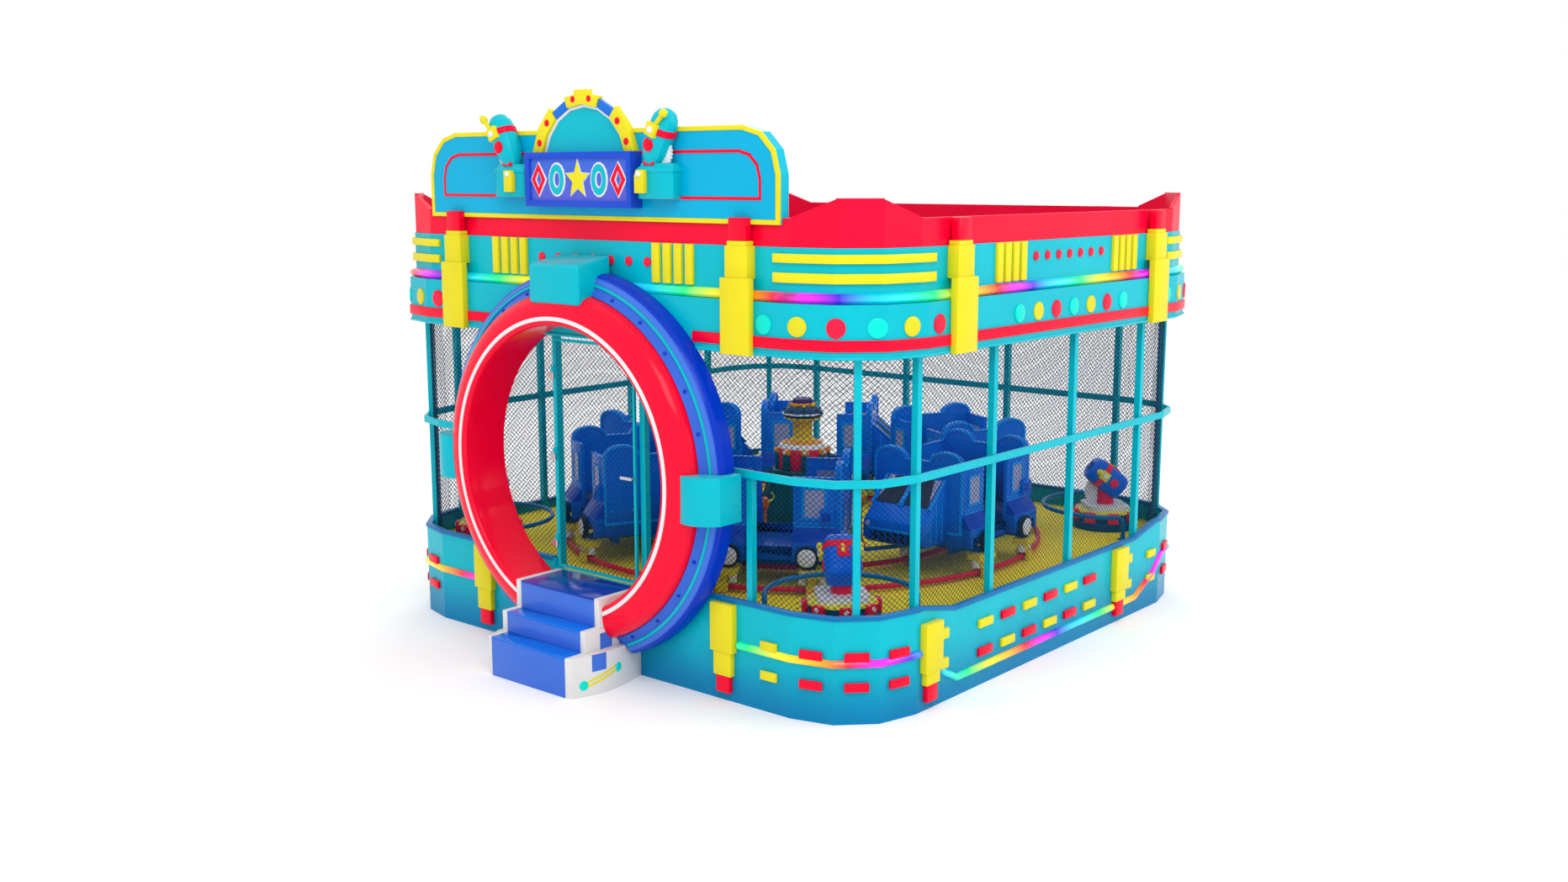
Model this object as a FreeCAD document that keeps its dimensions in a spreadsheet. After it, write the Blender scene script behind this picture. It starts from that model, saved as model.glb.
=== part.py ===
"""Walk-in car carousel: six linked cars run on two rails inside a netted, free-standing room.

Frame: +Z up, origin on the ground at the centre of the plan, the entrance faces -Y.
Every driving size is a cell of the sheet; the pieces take their sizes and places from it by expression.
"""
import FreeCAD
import Part
import Sketcher
import math
import os
import re

doc = FreeCAD.newDocument("carousel")
sheet = doc.addObject("Spreadsheet::Sheet", "sizes")

# ---------------------------------------------------------------- driving dimensions (mm, degrees)
SIZES = [
    # plan and wall heights
    ("room_width", 6000), ("room_depth", 5865), ("corner_radius", 740), ("wall_thickness", 40),
    ("skirt_height", 192), ("side_height", 90), ("dip_start", 90), ("dip_length", 480),
    ("deck_height", 700), ("deck_thickness", 30), ("joist_width", 80), ("leg_width", 120),
    # netted part
    ("post_width", 60), ("rail_height", 1285), ("rail_depth", 66), ("rail_thickness", 26),
    ("net_thickness", 6), ("side_post_front", 2140), ("side_post_step", 1140), ("side_post_pitch", 1385),
    ("far_post_back", 45), ("front_rail_start", 1600),
    ("back_post_inner", 710), ("back_post_outer", 2100), ("short_post_reach", 1790),
    # fascia and cornice
    ("fascia_bottom", 2983), ("fascia_step", 3414), ("fascia_top", 3846), ("lower_proud", 62),
    ("cornice_low", 4072), ("cornice_crest", 4227), ("cornice_set_back", 10), ("beam_depth", 80),
    ("lamp_width", 44), ("lamp_height", 56), ("skirt_lamp_height", 490), ("side_lamp_height", 150),
    # pilasters
    ("pilaster_width", 310), ("pilaster_neck", 250), ("pilaster_proud", 70), ("pilaster_break", 3595),
    ("pilaster_gap", 55), ("side_pilaster", 1730), ("cap_height", 40), ("block_width", 205),
    ("cap_back", 22), ("cap_step", 6), ("neck_back", 15), ("pilaster_drip", 4), ("top_drop", 30),
    ("head_length", 360), ("shaft_bottom", 230), ("foot_bottom", 50),
    ("foot_pilaster_width", 250), ("foot_gap", 8), ("foot_pilaster_near", 2020),
    ("foot_pilaster_far", 1270),
    # entrance
    ("portal_height", 1870), ("tunnel_radius", 1255), ("tunnel_wall", 35), ("lip_radius", 1545),
    ("portal_radius", 1730), ("portal_front", 470), ("lip_depth", 185), ("rim_depth", 160),
    ("clamp_width", 620), ("clamp_height", 400), ("clamp_reach", 1800),
    ("side_clamp_inner", 1425), ("side_clamp_height", 1800), ("clamp_back", 12), ("clamp_grip", 105),
    ("clamp_over", 55), ("gate_post", 555),
    ("sill_height", 100), ("step_width", 960), ("step_side", 60), ("step_bulge", 90),
    ("step_reach", 855), ("first_rise", 360), ("second_rise", 188), ("first_going", 190),
    ("second_going", 170), ("gate_gap", 10), ("gate_bar", 25), ("gate_clearance", 30),
    ("hinge_radius", 14), ("hinge_pin_radius", 6), ("running_gap", 0.05), ("hinge_length", 60),
    ("hinge_end", 250), ("leaf_proud", 10), ("lug_clearance", 3), ("latch_proud", 40), ("latch_radius", 9),
    ("lever_length", 130), ("lever_width", 24),
    # sign
    ("board_reach", 2170), ("board_bottom", 4020), ("board_top", 4790), ("board_corner", 380),
    ("board_thickness", 110), ("board_proud", 18), ("box_reach", 665), ("box_bottom", 4130),
    ("box_top", 4600), ("box_depth", 140), ("arch_centre", 4470), ("arch_radius", 660),
    ("arch_depth", 45), ("plinth_inner", 700), ("plinth_outer", 1130), ("plinth_bottom", 4210),
    ("plinth_top", 4500), ("plinth_depth", 170),
    ("sign_rocket_radius", 85), ("sign_rocket_length", 300), ("sign_rocket_tilt", 28), ("stand_height", 150),
    # track and ride
    ("outer_track", 2450), ("inner_track", 1670), ("track_tube", 25), ("track_height", 50),
    ("ride_angle", -58.2), ("car_inner", 1335), ("car_outer", 2315), ("car_panel", 40),
    ("car_front", 600), ("car_rear", 640), ("car_bottom", 280), ("pan_thickness", 40),
    ("door_reach", 215), ("door_sill", 400), ("car_shoulder", 1070), ("hump_height", 105),
    ("hump_offset", 305), ("hump_reach", 180), ("pane_low", 680), ("pane_high", 930),
    ("pane_width", 170), ("nose_reach", 1040), ("nose_inner", 1490), ("nose_outer", 2160),
    ("scuttle_height", 920), ("hood_height", 660), ("nose_height", 550), ("nose_bottom", 330),
    ("fender_proud", 100), ("fender_height", 600), ("axle_offset", 356),
    ("axle_height", 344), ("axle_radius", 12), ("wheel_radius", 105), ("wheel_width", 50),
    ("seat_height", 500), ("seat_depth", 300), ("chassis_depth", 60), ("beam_width", 50),
    ("yoke_clearance", 15), ("leg_half", 30), ("leg_reach", 40), ("leg_set_back", 5), ("hitch_tuck", 60),
    ("hitch_set_out", 60), ("bar_width", 40), ("bar_depth", 30), ("bogie_offset", 400),
    ("yoke_length", 240), ("yoke_width", 150), ("yoke_low", 170), ("yoke_high", 230),
    ("roller_radius", 38), ("roller_pitch", 170), ("saddle_length", 110), ("saddle_gap", 8),
    ("saddle_plate", 14), ("saddle_half", 70), ("saddle_inner", 38.5), ("hub_half", 30),
    ("roller_clearance", 4), ("roller_play", 1), ("deck_clearance", 12), ("motor_radius", 48),
    ("motor_length", 180), ("gearbox_length", 80), ("wheel_play", 6), ("axle_play", 3), ("seat_play", 4),
    # centre tower and corner pieces
    ("tower_foot", 560), ("tower_neck", 320), ("tower_break", 690), ("drum_radius", 265),
    ("drum_top", 910), ("collar_top", 990), ("collar_radius", 215), ("column_radius", 104),
    ("column_top", 1170), ("saucer_radius", 225), ("saucer_height", 1275), ("dome_radius", 110),
    ("dome_top", 1435), ("claw_ring", 960), ("claw_angle", -14.5), ("claw_top", 610),
    ("figure_place", 2300), ("figure_radius", 340), ("figure_drum", 170), ("figure_plate", 30),
    ("plinth_size", 400), ("rocket_radius", 140), ("rocket_length", 430), ("rocket_tilt", 38),
    ("rocket_height", 485), ("guard_radius", 650), ("guard_tube", 24), ("guard_height", 230),
]

# these heights are measured up from the deck's top, the other heights from the ground
ON_DECK = {
    "axle_height", "car_bottom", "car_shoulder", "claw_top", "collar_top", "column_top", "dome_top",
    "door_sill", "drum_top", "fender_height", "guard_height", "hood_height", "nose_bottom", "nose_height",
    "pane_high", "pane_low", "rail_height", "rocket_height", "saucer_height", "scuttle_height",
    "seat_height", "side_height", "sill_height", "skirt_height", "tower_break", "track_height", "yoke_high",
    "yoke_low"}

for row, (word, number) in enumerate(SIZES, 1):
    sheet.set(f"A{row}", word)
    sheet.set(f"B{row}", str(number))
    sheet.setAlias(f"B{row}", word)
doc.recompute()

WORDS = {word for word, number in SIZES}
FACET = 15          # half the angle that one flat facet of a rounded corner covers
CARS = 6
PITCH = 360 / CARS


def formula(text):
    """A size formula in the sheet's words, as an expression of the document."""
    def cell(match):
        word = match.group()
        if word in ON_DECK:
            return f"(sizes.deck_height + sizes.{word})"
        return "sizes." + word if word in WORDS else word
    return re.sub(r"[a-z_]+[a-z_0-9]*", cell, str(text))


def value(text):
    number = sheet.evalExpression(formula(text))
    return float(getattr(number, "Value", number))


def bind(thing, **sizes):
    for name, text in sizes.items():
        thing.setExpression(name, formula(text))
    return thing


def place(thing, x, y, z, axis=(0, 0, 1), angle=0):
    """Put a piece's own origin at x, y, z (formulas), turned about an axis."""
    thing.Placement = FreeCAD.Placement(FreeCAD.Vector(), FreeCAD.Rotation(FreeCAD.Vector(*axis), 0))
    thing.Placement.Rotation = FreeCAD.Rotation(FreeCAD.Vector(*axis), value(angle))
    for letter, text in zip("xyz", (x, y, z)):
        thing.setExpression("Placement.Base." + letter, formula(text))
    return thing


def block(x, y, z, length, depth, height, angle=0):
    """A box from its low corner, its corner then turned about the vertical through that corner."""
    thing = doc.addObject("Part::Box", "block")
    bind(thing, Length=length, Width=depth, Height=height)
    return place(thing, x, y, z, angle=angle)


def slab(x_low, x_high, y_low, y_high, z_low, z_high):
    """A box between two planes each way."""
    return block(x_low, y_low, z_low, f"({x_high}) - ({x_low})", f"({y_high}) - ({y_low})",
                 f"({z_high}) - ({z_low})")


def rod(x, y, z, radius, length, along="z"):
    """A round bar that starts at x, y, z and runs along +x, +y or +z."""
    thing = bind(doc.addObject("Part::Cylinder", "rod"), Radius=radius, Height=length)
    axis, angle = {"z": ((0, 0, 1), 0), "x": ((0, 1, 0), 90), "y": ((1, 0, 0), -90)}[along]
    return place(thing, x, y, z, axis, angle)


def group(parts, label="group"):
    """Separate solids kept together as one object."""
    thing = doc.addObject("Part::Compound", label)
    thing.Links = parts
    return thing


def turned(source, angle, x="0", y="0"):
    """A copy of an object, turned about the vertical through x, y."""
    return place(group([source], "copy"), x, y, "0", angle=angle)


def joined(parts):
    thing = doc.addObject("Part::MultiFuse", "joined")
    thing.Shapes = parts
    return thing


def cut(base, tool):
    thing = doc.addObject("Part::Cut", "cut")
    thing.Base, thing.Tool = base, tool
    return thing


def common(base, tool):
    thing = doc.addObject("Part::Common", "common")
    thing.Base, thing.Tool = base, tool
    return thing


def outline_sketch(body, role, points):
    """A closed outline of straight edges, each corner held by two formulas from the sheet."""
    sketch = body.newObject("Sketcher::SketchObject", "outline")
    plane = [feature for feature in body.Origin.OriginFeatures if feature.Role == role][0]
    sketch.AttachmentSupport = [(plane, "")]
    sketch.MapMode = "FlatFace"
    spots = [FreeCAD.Vector(value(across), value(up), 0) for across, up in points]
    count = len(spots)
    for i in range(count):
        sketch.addGeometry(Part.LineSegment(spots[i], spots[(i + 1) % count]))
    for i in range(count):
        sketch.addConstraint(Sketcher.Constraint("Coincident", i, 2, (i + 1) % count, 1))
    for i, (across, up) in enumerate(points):
        for kind, text, number in (("DistanceX", across, spots[i].x), ("DistanceY", up, spots[i].y)):
            index = sketch.addConstraint(Sketcher.Constraint(kind, -1, 1, i, 1, number))
            sketch.setExpression(f"Constraints[{index}]", formula(text))
    return sketch


def plate(role, points, depth, x="0", y="0", z="0", angle=0):
    """A padded outline. XY_Plane rises along +z, YZ_Plane runs along +x, XZ_Plane runs along -y."""
    body = doc.addObject("PartDesign::Body", "plate")
    sketch = outline_sketch(body, role, points)
    pad = body.newObject("PartDesign::Pad", "pad")
    pad.Profile = sketch
    bind(pad, Length=depth)
    return place(body, x, y, z, angle=angle)


def sectors(points, z, start, count, tool):
    """An outline of radius against y, turned round the portal's axis in equal sectors laid end to end.

    The run goes from `start` degrees off straight down on one side to the same on the other, less the tool.
    """
    made = []
    sweep = (360 - 2 * start) / count
    for index in range(count):
        body = doc.addObject("PartDesign::Body", "sector")
        sketch = outline_sketch(body, "XY_Plane", points)
        spin = body.newObject("PartDesign::Revolution", "spin")
        spin.Profile = sketch
        spin.ReferenceAxis = (sketch, ["V_Axis"])
        spin.Angle = sweep
        # a sector turns from +x towards -z, so it starts from straight down on the left
        place(body, "0", "0", z, axis=(0, 1, 0), angle=90 + start + sweep * index)
        made.append(cut(body, tool))
    return made


def prism(x, y, z, radius, height, corners=8):
    thing = doc.addObject("Part::Prism", "prism")
    thing.Polygon = corners
    bind(thing, Circumradius=radius, Height=height)
    return place(thing, x, y, z, angle=180 / corners)


def spire(z_low, radius_low, z_high, radius_high):
    """An eight-sided tapered block on the room's centre line."""
    rings = []
    for height, radius in ((z_low, radius_low), (z_high, radius_high)):
        ring = doc.addObject("Part::RegularPolygon", "ring")
        ring.Polygon = 8
        bind(ring, Circumradius=radius)
        rings.append(place(ring, "0", "0", height, angle=22.5))
    loft = doc.addObject("Part::Loft", "spire")
    loft.Sections, loft.Solid, loft.Ruled = rings, True, True
    return loft


nodes = {}


def node(name, parts):
    """Names one sub-part: one object as it is, or several solids kept together."""
    thing = parts[0] if len(parts) == 1 else group(parts)
    thing.Label = name
    nodes[name] = thing
    return thing


# ---------------------------------------------------------------- the room's plan
HALF_X, HALF_Y = "room_width / 2", "room_depth / 2"
ARC_X, ARC_Y = f"({HALF_X} - corner_radius)", f"({HALF_Y} - corner_radius)"
CORNERS = [(1, -1, -90), (1, 1, 0), (-1, 1, 90), (-1, -1, 180)]


def facets(offset, thickness, z, height, which=(0, 1, 2)):
    """The flat facets of the four rounded corners, mitred, their outer faces `offset` out of the skirt's."""
    made = []
    reach = f"(corner_radius * cos({FACET}) + {offset})"
    for side_x, side_y, start in CORNERS:
        for index in which:
            piece = doc.addObject("Part::Wedge", "facet")
            inner = f"({reach} - {thickness}) * tan({FACET})"
            outer = f"{reach} * tan({FACET})"
            bind(piece, Xmin=f"-{inner}", Xmax=inner, X2min=f"-{outer}", X2max=outer,
                 Ymin=f"{reach} - {thickness}", Ymax=reach,
                 Zmin="0", Z2min="0", Zmax=height, Z2max=height)
            angle = start + FACET * (2 * index + 1) - 90
            made.append(place(piece, f"{side_x} * {ARC_X}", f"{side_y} * {ARC_Y}", z, angle=angle))
    return made


def sides(offset, thickness, z, height, walls=("right", "left", "back", "front")):
    """The straight runs between the corners, as boxes."""
    made = []
    for wall in walls:
        out_x, out_y = f"{HALF_X} + {offset}", f"{HALF_Y} + {offset}"
        made.append({
            "right": lambda: block(f"{out_x} - {thickness}", f"-{ARC_Y}", z, thickness, f"2 * {ARC_Y}",
                                   height),
            "left": lambda: block(f"-({out_x})", f"-{ARC_Y}", z, thickness, f"2 * {ARC_Y}", height),
            "back": lambda: block(f"-{ARC_X}", f"{out_y} - {thickness}", z, f"2 * {ARC_X}", thickness,
                                  height),
            "front": lambda: block(f"-{ARC_X}", f"-({out_y})", z, f"2 * {ARC_X}", thickness, height),
        }[wall]())
    return made


def plan_outline(inset):
    """The room's plan as sketch points, each face `inset` behind the skirt's outer face."""
    points = []
    for side_x, side_y, start in CORNERS:
        for step in range(4):
            angle = start + 2 * FACET * step
            reach = f"(corner_radius - {inset} / cos({FACET}))"
            points.append((f"{side_x} * {ARC_X} + {reach} * cos({angle})",
                           f"{side_y} * {ARC_Y} + {reach} * sin({angle})"))
    return points


# ---------------------------------------------------------------- floor: legs, joists, deck
joist_places = (-2, -1, 0, 1, 2)
legs, joists = [], []
under_deck = "deck_height - deck_thickness"
joist_pitch, leg_pitch = "room_depth / 5.6", "room_width / 2.6"
joist_end = f"({HALF_X} - 4 * wall_thickness)"
for row in joist_places:
    y = f"{row} * {joist_pitch}"
    joists.append(slab(f"-{joist_end}", joist_end, f"{y} - joist_width / 2", f"{y} + joist_width / 2",
                       f"{under_deck} - joist_width", under_deck))
    for column in (-1, 0, 1):
        x = f"{column} * {leg_pitch}"
        legs.append(slab(f"{x} - leg_width / 2", f"{x} + leg_width / 2", f"{y} - leg_width / 2",
                         f"{y} + leg_width / 2", "0", f"{under_deck} - joist_width"))
node("floor_frame", legs + joists)
node("deck", [plate("XY_Plane", plan_outline("(wall_thickness + 1)"), "deck_thickness", z=under_deck)])

# the front pilasters stand beside the portal's ring, as wide as it is at their own tops
front_pilaster = "(portal_radius + pilaster_gap)"
ring_half = "sqrt(portal_radius ^ 2 - (portal_height - skirt_height) ^ 2)"
foot_front = f"({ring_half} + foot_gap + foot_pilaster_width / 2)"

# ---------------------------------------------------------------- skirt: corners, dipped sides, front sill
node("skirt_corners", facets("0", "wall_thickness", "0", "skirt_height"))
dip_a = f"({ARC_Y} - dip_start)"
dip_b = f"({ARC_Y} - dip_start - dip_length)"
dipped = [(f"-{ARC_Y}", "0"), (ARC_Y, "0"), (ARC_Y, "skirt_height"), (dip_a, "skirt_height"),
          (dip_b, "side_height"), (f"-{dip_b}", "side_height"), (f"-{dip_a}", "skirt_height"),
          (f"-{ARC_Y}", "skirt_height")]
sill = "(gate_post + post_width / 2)"
notched = [(f"-{ARC_X}", "0"), (ARC_X, "0"), (ARC_X, "skirt_height"), (sill, "skirt_height"),
           (sill, "sill_height"), (f"-{sill}", "sill_height"), (f"-{sill}", "skirt_height"),
           (f"-{ARC_X}", "skirt_height")]
node("skirt_sides", [
    plate("YZ_Plane", dipped, "wall_thickness", x=f"{HALF_X} - wall_thickness"),
    plate("YZ_Plane", dipped, "wall_thickness", x=f"-{HALF_X}"),
    plate("XZ_Plane", notched, "wall_thickness", y=f"-{HALF_Y} + wall_thickness"),
    sides("0", "wall_thickness", "0", "skirt_height", ["back"])[0]])


def foot_pilaster(x, y, angle, top):
    """A stepped pilaster on the skirt: wide head, narrower shaft, small foot; faces -y, then turned."""
    steps = [(1.0, f"{top} - head_length", top), (0.8, "shaft_bottom", f"{top} - head_length"),
             (0.6, "foot_bottom", "shaft_bottom")]
    made = []
    for share, low, high in steps:
        half = f"{share} * foot_pilaster_width / 2"
        depth = f"pilaster_proud * {share}"
        made.append(slab(f"-{half}", half, f"-({depth})", "0", low, high))
    return place(group(made), x, y, "0", angle=angle)


front_top, side_top = "(skirt_height - top_drop)", "(side_height - top_drop)"
pilasters = []
for side in (1, -1):
    pilasters.append(foot_pilaster(f"{side} * {foot_front}", f"-{HALF_Y}", 0, front_top))
    pilasters.append(foot_pilaster(f"{side} * {foot_front}", HALF_Y, 180, front_top))
    for along in ("-foot_pilaster_near", "foot_pilaster_far"):
        pilasters.append(foot_pilaster(f"{side} * {HALF_X}", along, 90 * side, side_top))
node("skirt_pilasters", pilasters)

# ---------------------------------------------------------------- posts, mid rail, nets, top beam
post_in = "(wall_thickness + post_width)"
posts = []
span = ("deck_height", "fascia_bottom")


def post(x, y, low, high):
    return slab(f"{x} - post_width / 2", f"{x} + post_width / 2", f"{y} - post_width / 2",
                f"{y} + post_width / 2", low, high)


line_x = f"({HALF_X} - wall_thickness - post_width / 2)"
line_y = f"({HALF_Y} - wall_thickness - post_width / 2)"
side_posts = ["-side_post_front", "(side_post_step - side_post_front)",
              "(side_post_step + side_post_pitch - side_post_front)",
              "(side_post_step + 2 * side_post_pitch - side_post_front - far_post_back)"]
for side in (1, -1):
    for y in side_posts:
        posts.append(post(f"{side} * {line_x}", y, *span))
    for x in ("back_post_inner", "back_post_outer"):
        posts.append(post(f"{side} * {x}", line_y, *span))
    posts.append(post(f"{side} * gate_post", f"-{line_y}", "sill_height", "fascia_bottom"))
    posts.append(post(f"{side} * short_post_reach", f"-{line_y}", "deck_height",
                      "rail_height - rail_depth / 2"))
corner_reach = f"(corner_radius * cos({FACET}) - wall_thickness - post_width)"
for side_x, side_y, start in CORNERS:
    bar = slab(corner_reach, f"{corner_reach} + post_width", "-post_width / 2", "post_width / 2", *span)
    posts.append(place(group([bar]), f"{side_x} * {ARC_X}", f"{side_y} * {ARC_Y}", "0", angle=start + 45))
node("fence_posts", posts)

rail_low = "rail_height - rail_depth / 2"
rail_out = "(rail_thickness - wall_thickness)"
front_rails = []
for low, high in ((f"-{ARC_X}", "-front_rail_start"), ("front_rail_start", ARC_X)):
    front_rails.append(slab(low, high, f"-{HALF_Y} - {rail_out}", f"-{HALF_Y} + wall_thickness", rail_low,
                            f"{rail_low} + rail_depth"))
node("fence_rails", facets(rail_out, "rail_thickness", rail_low, "rail_depth")
     + sides(rail_out, "rail_thickness", rail_low, "rail_depth", ["right", "left", "back"]) + front_rails)

net_out = f"(-{post_in})"
net_low, net_height = "deck_height", "fascia_bottom - deck_height"
net_y = f"(-{HALF_Y} + {post_in})"
front_nets = []
for low, high in ((f"-{ARC_X}", f"-{sill}"), (sill, ARC_X)):
    front_nets.append(slab(low, high, net_y, f"{net_y} + net_thickness", net_low, "fascia_bottom"))
node("net_panels", facets(net_out, "net_thickness", net_low, net_height)
     + sides(net_out, "net_thickness", net_low, net_height, ["right", "left", "back"]) + front_nets)
node("top_beam", facets("(-wall_thickness)", "post_width", "fascia_bottom", "beam_depth")
     + sides("(-wall_thickness)", "post_width", "fascia_bottom", "beam_depth"))

# ---------------------------------------------------------------- fascia, cornice, lamp strips, pilasters
lower_height = "fascia_step - fascia_bottom"
lower_thick = "(lower_proud + wall_thickness)"
node("fascia_lower", facets("lower_proud", lower_thick, "fascia_bottom", lower_height)
     + sides("lower_proud", lower_thick, "fascia_bottom", lower_height))
upper_height = "fascia_top - fascia_step"
node("fascia_upper", facets("0", "wall_thickness", "fascia_step", upper_height)
     + sides("0", "wall_thickness", "fascia_step", upper_height))

cornice_out = "(-cornice_set_back)"
crest = "cornice_crest - fascia_top"
level = "cornice_low - fascia_top"
cornice = facets(cornice_out, "wall_thickness", "fascia_top", crest, [1])
ramp_half = f"(corner_radius * tan({FACET}) + 10)"
for index, falls in ((0, -1), (2, 1)):
    blanks = facets(cornice_out, "wall_thickness", "fascia_top", crest, [index])
    for blank, (side_x, side_y, start) in zip(blanks, CORNERS):
        low, high = (level, crest) if falls < 0 else (crest, level)
        # a facet's own x runs against the turn of the corner, so its far end is the low or high one
        ramp = plate("XZ_Plane", [(f"-{ramp_half}", "0"), (ramp_half, "0"), (ramp_half, low),
                                  (f"-{ramp_half}", high)], "corner_radius", y="corner_radius")
        angle = start + FACET * (2 * index + 1) - 90
        cornice.append(common(blank, place(group([ramp]), f"{side_x} * {ARC_X}", f"{side_y} * {ARC_Y}",
                                           "fascia_top", angle=angle)))
cornice += sides(cornice_out, "wall_thickness", "fascia_top", level, ["right", "left", "back"])
seat = "(board_reach + 5)"
cornice.append(plate("XZ_Plane", [(f"-{ARC_X}", "fascia_top"), (ARC_X, "fascia_top"), (ARC_X, "cornice_low"),
                                  (seat, "cornice_low"), (seat, "board_bottom"), (f"-{seat}", "board_bottom"),
                                  (f"-{seat}", "cornice_low"), (f"-{ARC_X}", "cornice_low")],
                     "wall_thickness", y=f"-{HALF_Y} + cornice_set_back + wall_thickness"))
node("cornice", cornice)

lamp_out = "(lower_proud - 6)"
strips = facets(lamp_out, "lamp_width", "fascia_step", "lamp_height") + sides(
    lamp_out, "lamp_width", "fascia_step", "lamp_height")
strips += facets("lamp_width / 2", "lamp_width / 2", "skirt_lamp_height", "lamp_width")
past, before = [f"({foot_front} {sign} foot_pilaster_width / 2)" for sign in "+-"]
outer_runs = [(f"-{ARC_X}", f"-{past}"), (past, ARC_X)]
for low, high in outer_runs:
    strips.append(slab(low, high, f"-{HALF_Y} - lamp_width / 2", f"-{HALF_Y}", "skirt_lamp_height",
                       "skirt_lamp_height + lamp_width"))
for low, high in outer_runs + [(f"-{before}", before)]:
    strips.append(slab(low, high, HALF_Y, f"{HALF_Y} + lamp_width / 2", "skirt_lamp_height",
                       "skirt_lamp_height + lamp_width"))
for side in (1, -1):
    wall = HALF_X if side > 0 else f"-{HALF_X} - lamp_width / 2"
    # the side runs dip to a lower line between the two near pilasters of that wall
    near, far = [f"({place_of} - foot_pilaster_width / 2)" for place_of in
                 ("foot_pilaster_near", "foot_pilaster_far")]
    strips.append(slab(wall, f"{wall} + lamp_width / 2", f"-{near}", far, "side_lamp_height",
                       "side_lamp_height + lamp_width"))
node("light_strips", strips)


def wall_pilaster(x, y, angle):
    """Wide lower part, neck, cap and a block against the cornice; built facing -y, then turned."""
    half, neck, stub = "pilaster_width / 2", "pilaster_neck / 2", "block_width / 2"
    front = "(lower_proud + pilaster_proud)"
    made = [slab(f"-{half}", half, f"-{front}", "-lower_proud", "fascia_bottom - pilaster_drip",
                 "pilaster_break"),
            slab(f"-{neck}", neck, f"-{front} + neck_back", "0", "pilaster_break", "fascia_top"),
            slab(f"-{stub}", stub, f"-{front} + cap_back", "-board_proud", "fascia_top",
                 "fascia_top + cap_height"),
            slab(f"-{stub} + cap_step", f"{stub} - cap_step", f"-{front} + cap_back + cap_step",
                 "-board_proud", "fascia_top + cap_height", "cornice_low")]
    return place(group(made), x, y, "0", angle=angle)


uprights = []
for side in (1, -1):
    uprights.append(wall_pilaster(f"{side} * {front_pilaster}", f"-{HALF_Y}", 0))
    uprights.append(wall_pilaster(f"{side} * {front_pilaster}", HALF_Y, 180))
    for along in (1, -1):
        uprights.append(wall_pilaster(f"{side} * {HALF_X}", f"{along} * side_pilaster", 90 * side))
node("fascia_pilasters", uprights)

# ---------------------------------------------------------------- entrance steps
foot_y = f"(-{HALF_Y} - step_reach)"
second_y = f"({foot_y} + first_going)"
third_y = f"({second_y} + second_going)"
second_z = "(first_rise + second_rise)"
stair = [(foot_y, "0"), (f"-{HALF_Y}", "0"), (f"-{HALF_Y}", "sill_height"), (third_y, "sill_height"),
         (third_y, second_z), (second_y, second_z), (second_y, "first_rise"), (foot_y, "first_rise")]
node("step_treads", [plate("YZ_Plane", stair, "step_width", x="-step_width / 2")])
cheeks, bulges = [], []
for side in (1, -1):
    inner = "step_width / 2"
    bulge = [(inner, foot_y), (f"{inner} + step_side", f"{foot_y} + 20"),
             (f"{inner} + step_side + 0.7 * step_bulge", f"{foot_y} + 0.22 * step_reach"),
             (f"{inner} + step_side + step_bulge", f"{foot_y} + 0.46 * step_reach"),
             (f"{inner} + step_side + 0.6 * step_bulge", f"{foot_y} + 0.75 * step_reach"),
             (f"{inner} + step_side", f"-{HALF_Y}"), (inner, f"-{HALF_Y}")]
    low_part = plate("XY_Plane", [(f"{side} * ({x})", y) for x, y in bulge], "first_rise")
    bulges.append(low_part)
    x_low = inner if side > 0 else f"-{inner} - step_side"
    cheeks += [low_part,
               slab(x_low, f"{x_low} + step_side", second_y, f"-{HALF_Y}", "first_rise", second_z),
               slab(x_low, f"{x_low} + step_side", third_y, f"-{HALF_Y}", second_z, "sill_height")]
node("step_sides", cheeks)

# ---------------------------------------------------------------- portal: tunnel, ring, clamps
SECTORS, SECTOR_START = 12, 16
front_y = f"(-{HALF_Y} - portal_front)"
tunnel_out = "(tunnel_radius + tunnel_wall)"
tunnel_outline = [("tunnel_radius", f"-{HALF_Y} - 3"), ("tunnel_radius", f"{front_y} + 40"),
                  ("tunnel_radius + 20", f"{front_y} + 10"), ("tunnel_radius + 60", front_y),
                  ("lip_radius - 140", f"{front_y} + 8"), ("lip_radius - 70", f"{front_y} + 30"),
                  ("lip_radius - 25", f"{front_y} + 60"), ("lip_radius", f"{front_y} + 100"),
                  ("lip_radius", f"{front_y} + lip_depth"), (tunnel_out, f"{front_y} + lip_depth"),
                  (tunnel_out, f"-{HALF_Y} - 3")]
ring_back = f"(-{HALF_Y} - lower_proud - 1)"
ring_outline = [(tunnel_out, ring_back), (tunnel_out, f"{front_y} + lip_depth"),
                ("lip_radius", f"{front_y} + lip_depth"), ("lip_radius", f"{front_y} + 160"),
                ("lip_radius + 70", f"{front_y} + 215"), ("lip_radius + 110", f"{front_y} + 225"),
                ("portal_radius - 30", f"{ring_back} - rim_depth"),
                ("portal_radius", f"{ring_back} - rim_depth + 50"), ("portal_radius", ring_back)]
step_edge = "(step_width / 2 + step_side)"
step_room = slab(f"-{step_edge}", step_edge, f"{front_y} - 200", f"-{HALF_Y}", "-100", "sill_height")
fascia_room = slab("-2000", "2000", ring_back, f"-{HALF_Y} + 50", "fascia_bottom - 1", "cornice_crest")
step_room = joined([step_room] + bulges)
tunnel = sectors(tunnel_outline, "portal_height", SECTOR_START, SECTORS, joined([step_room, fascia_room]))
ring = sectors(ring_outline, "portal_height", SECTOR_START, SECTORS, step_room)
node("portal_tunnel", tunnel)
node("portal_ring", ring)
clamp_front = f"({front_y} + clamp_back)"
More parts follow.
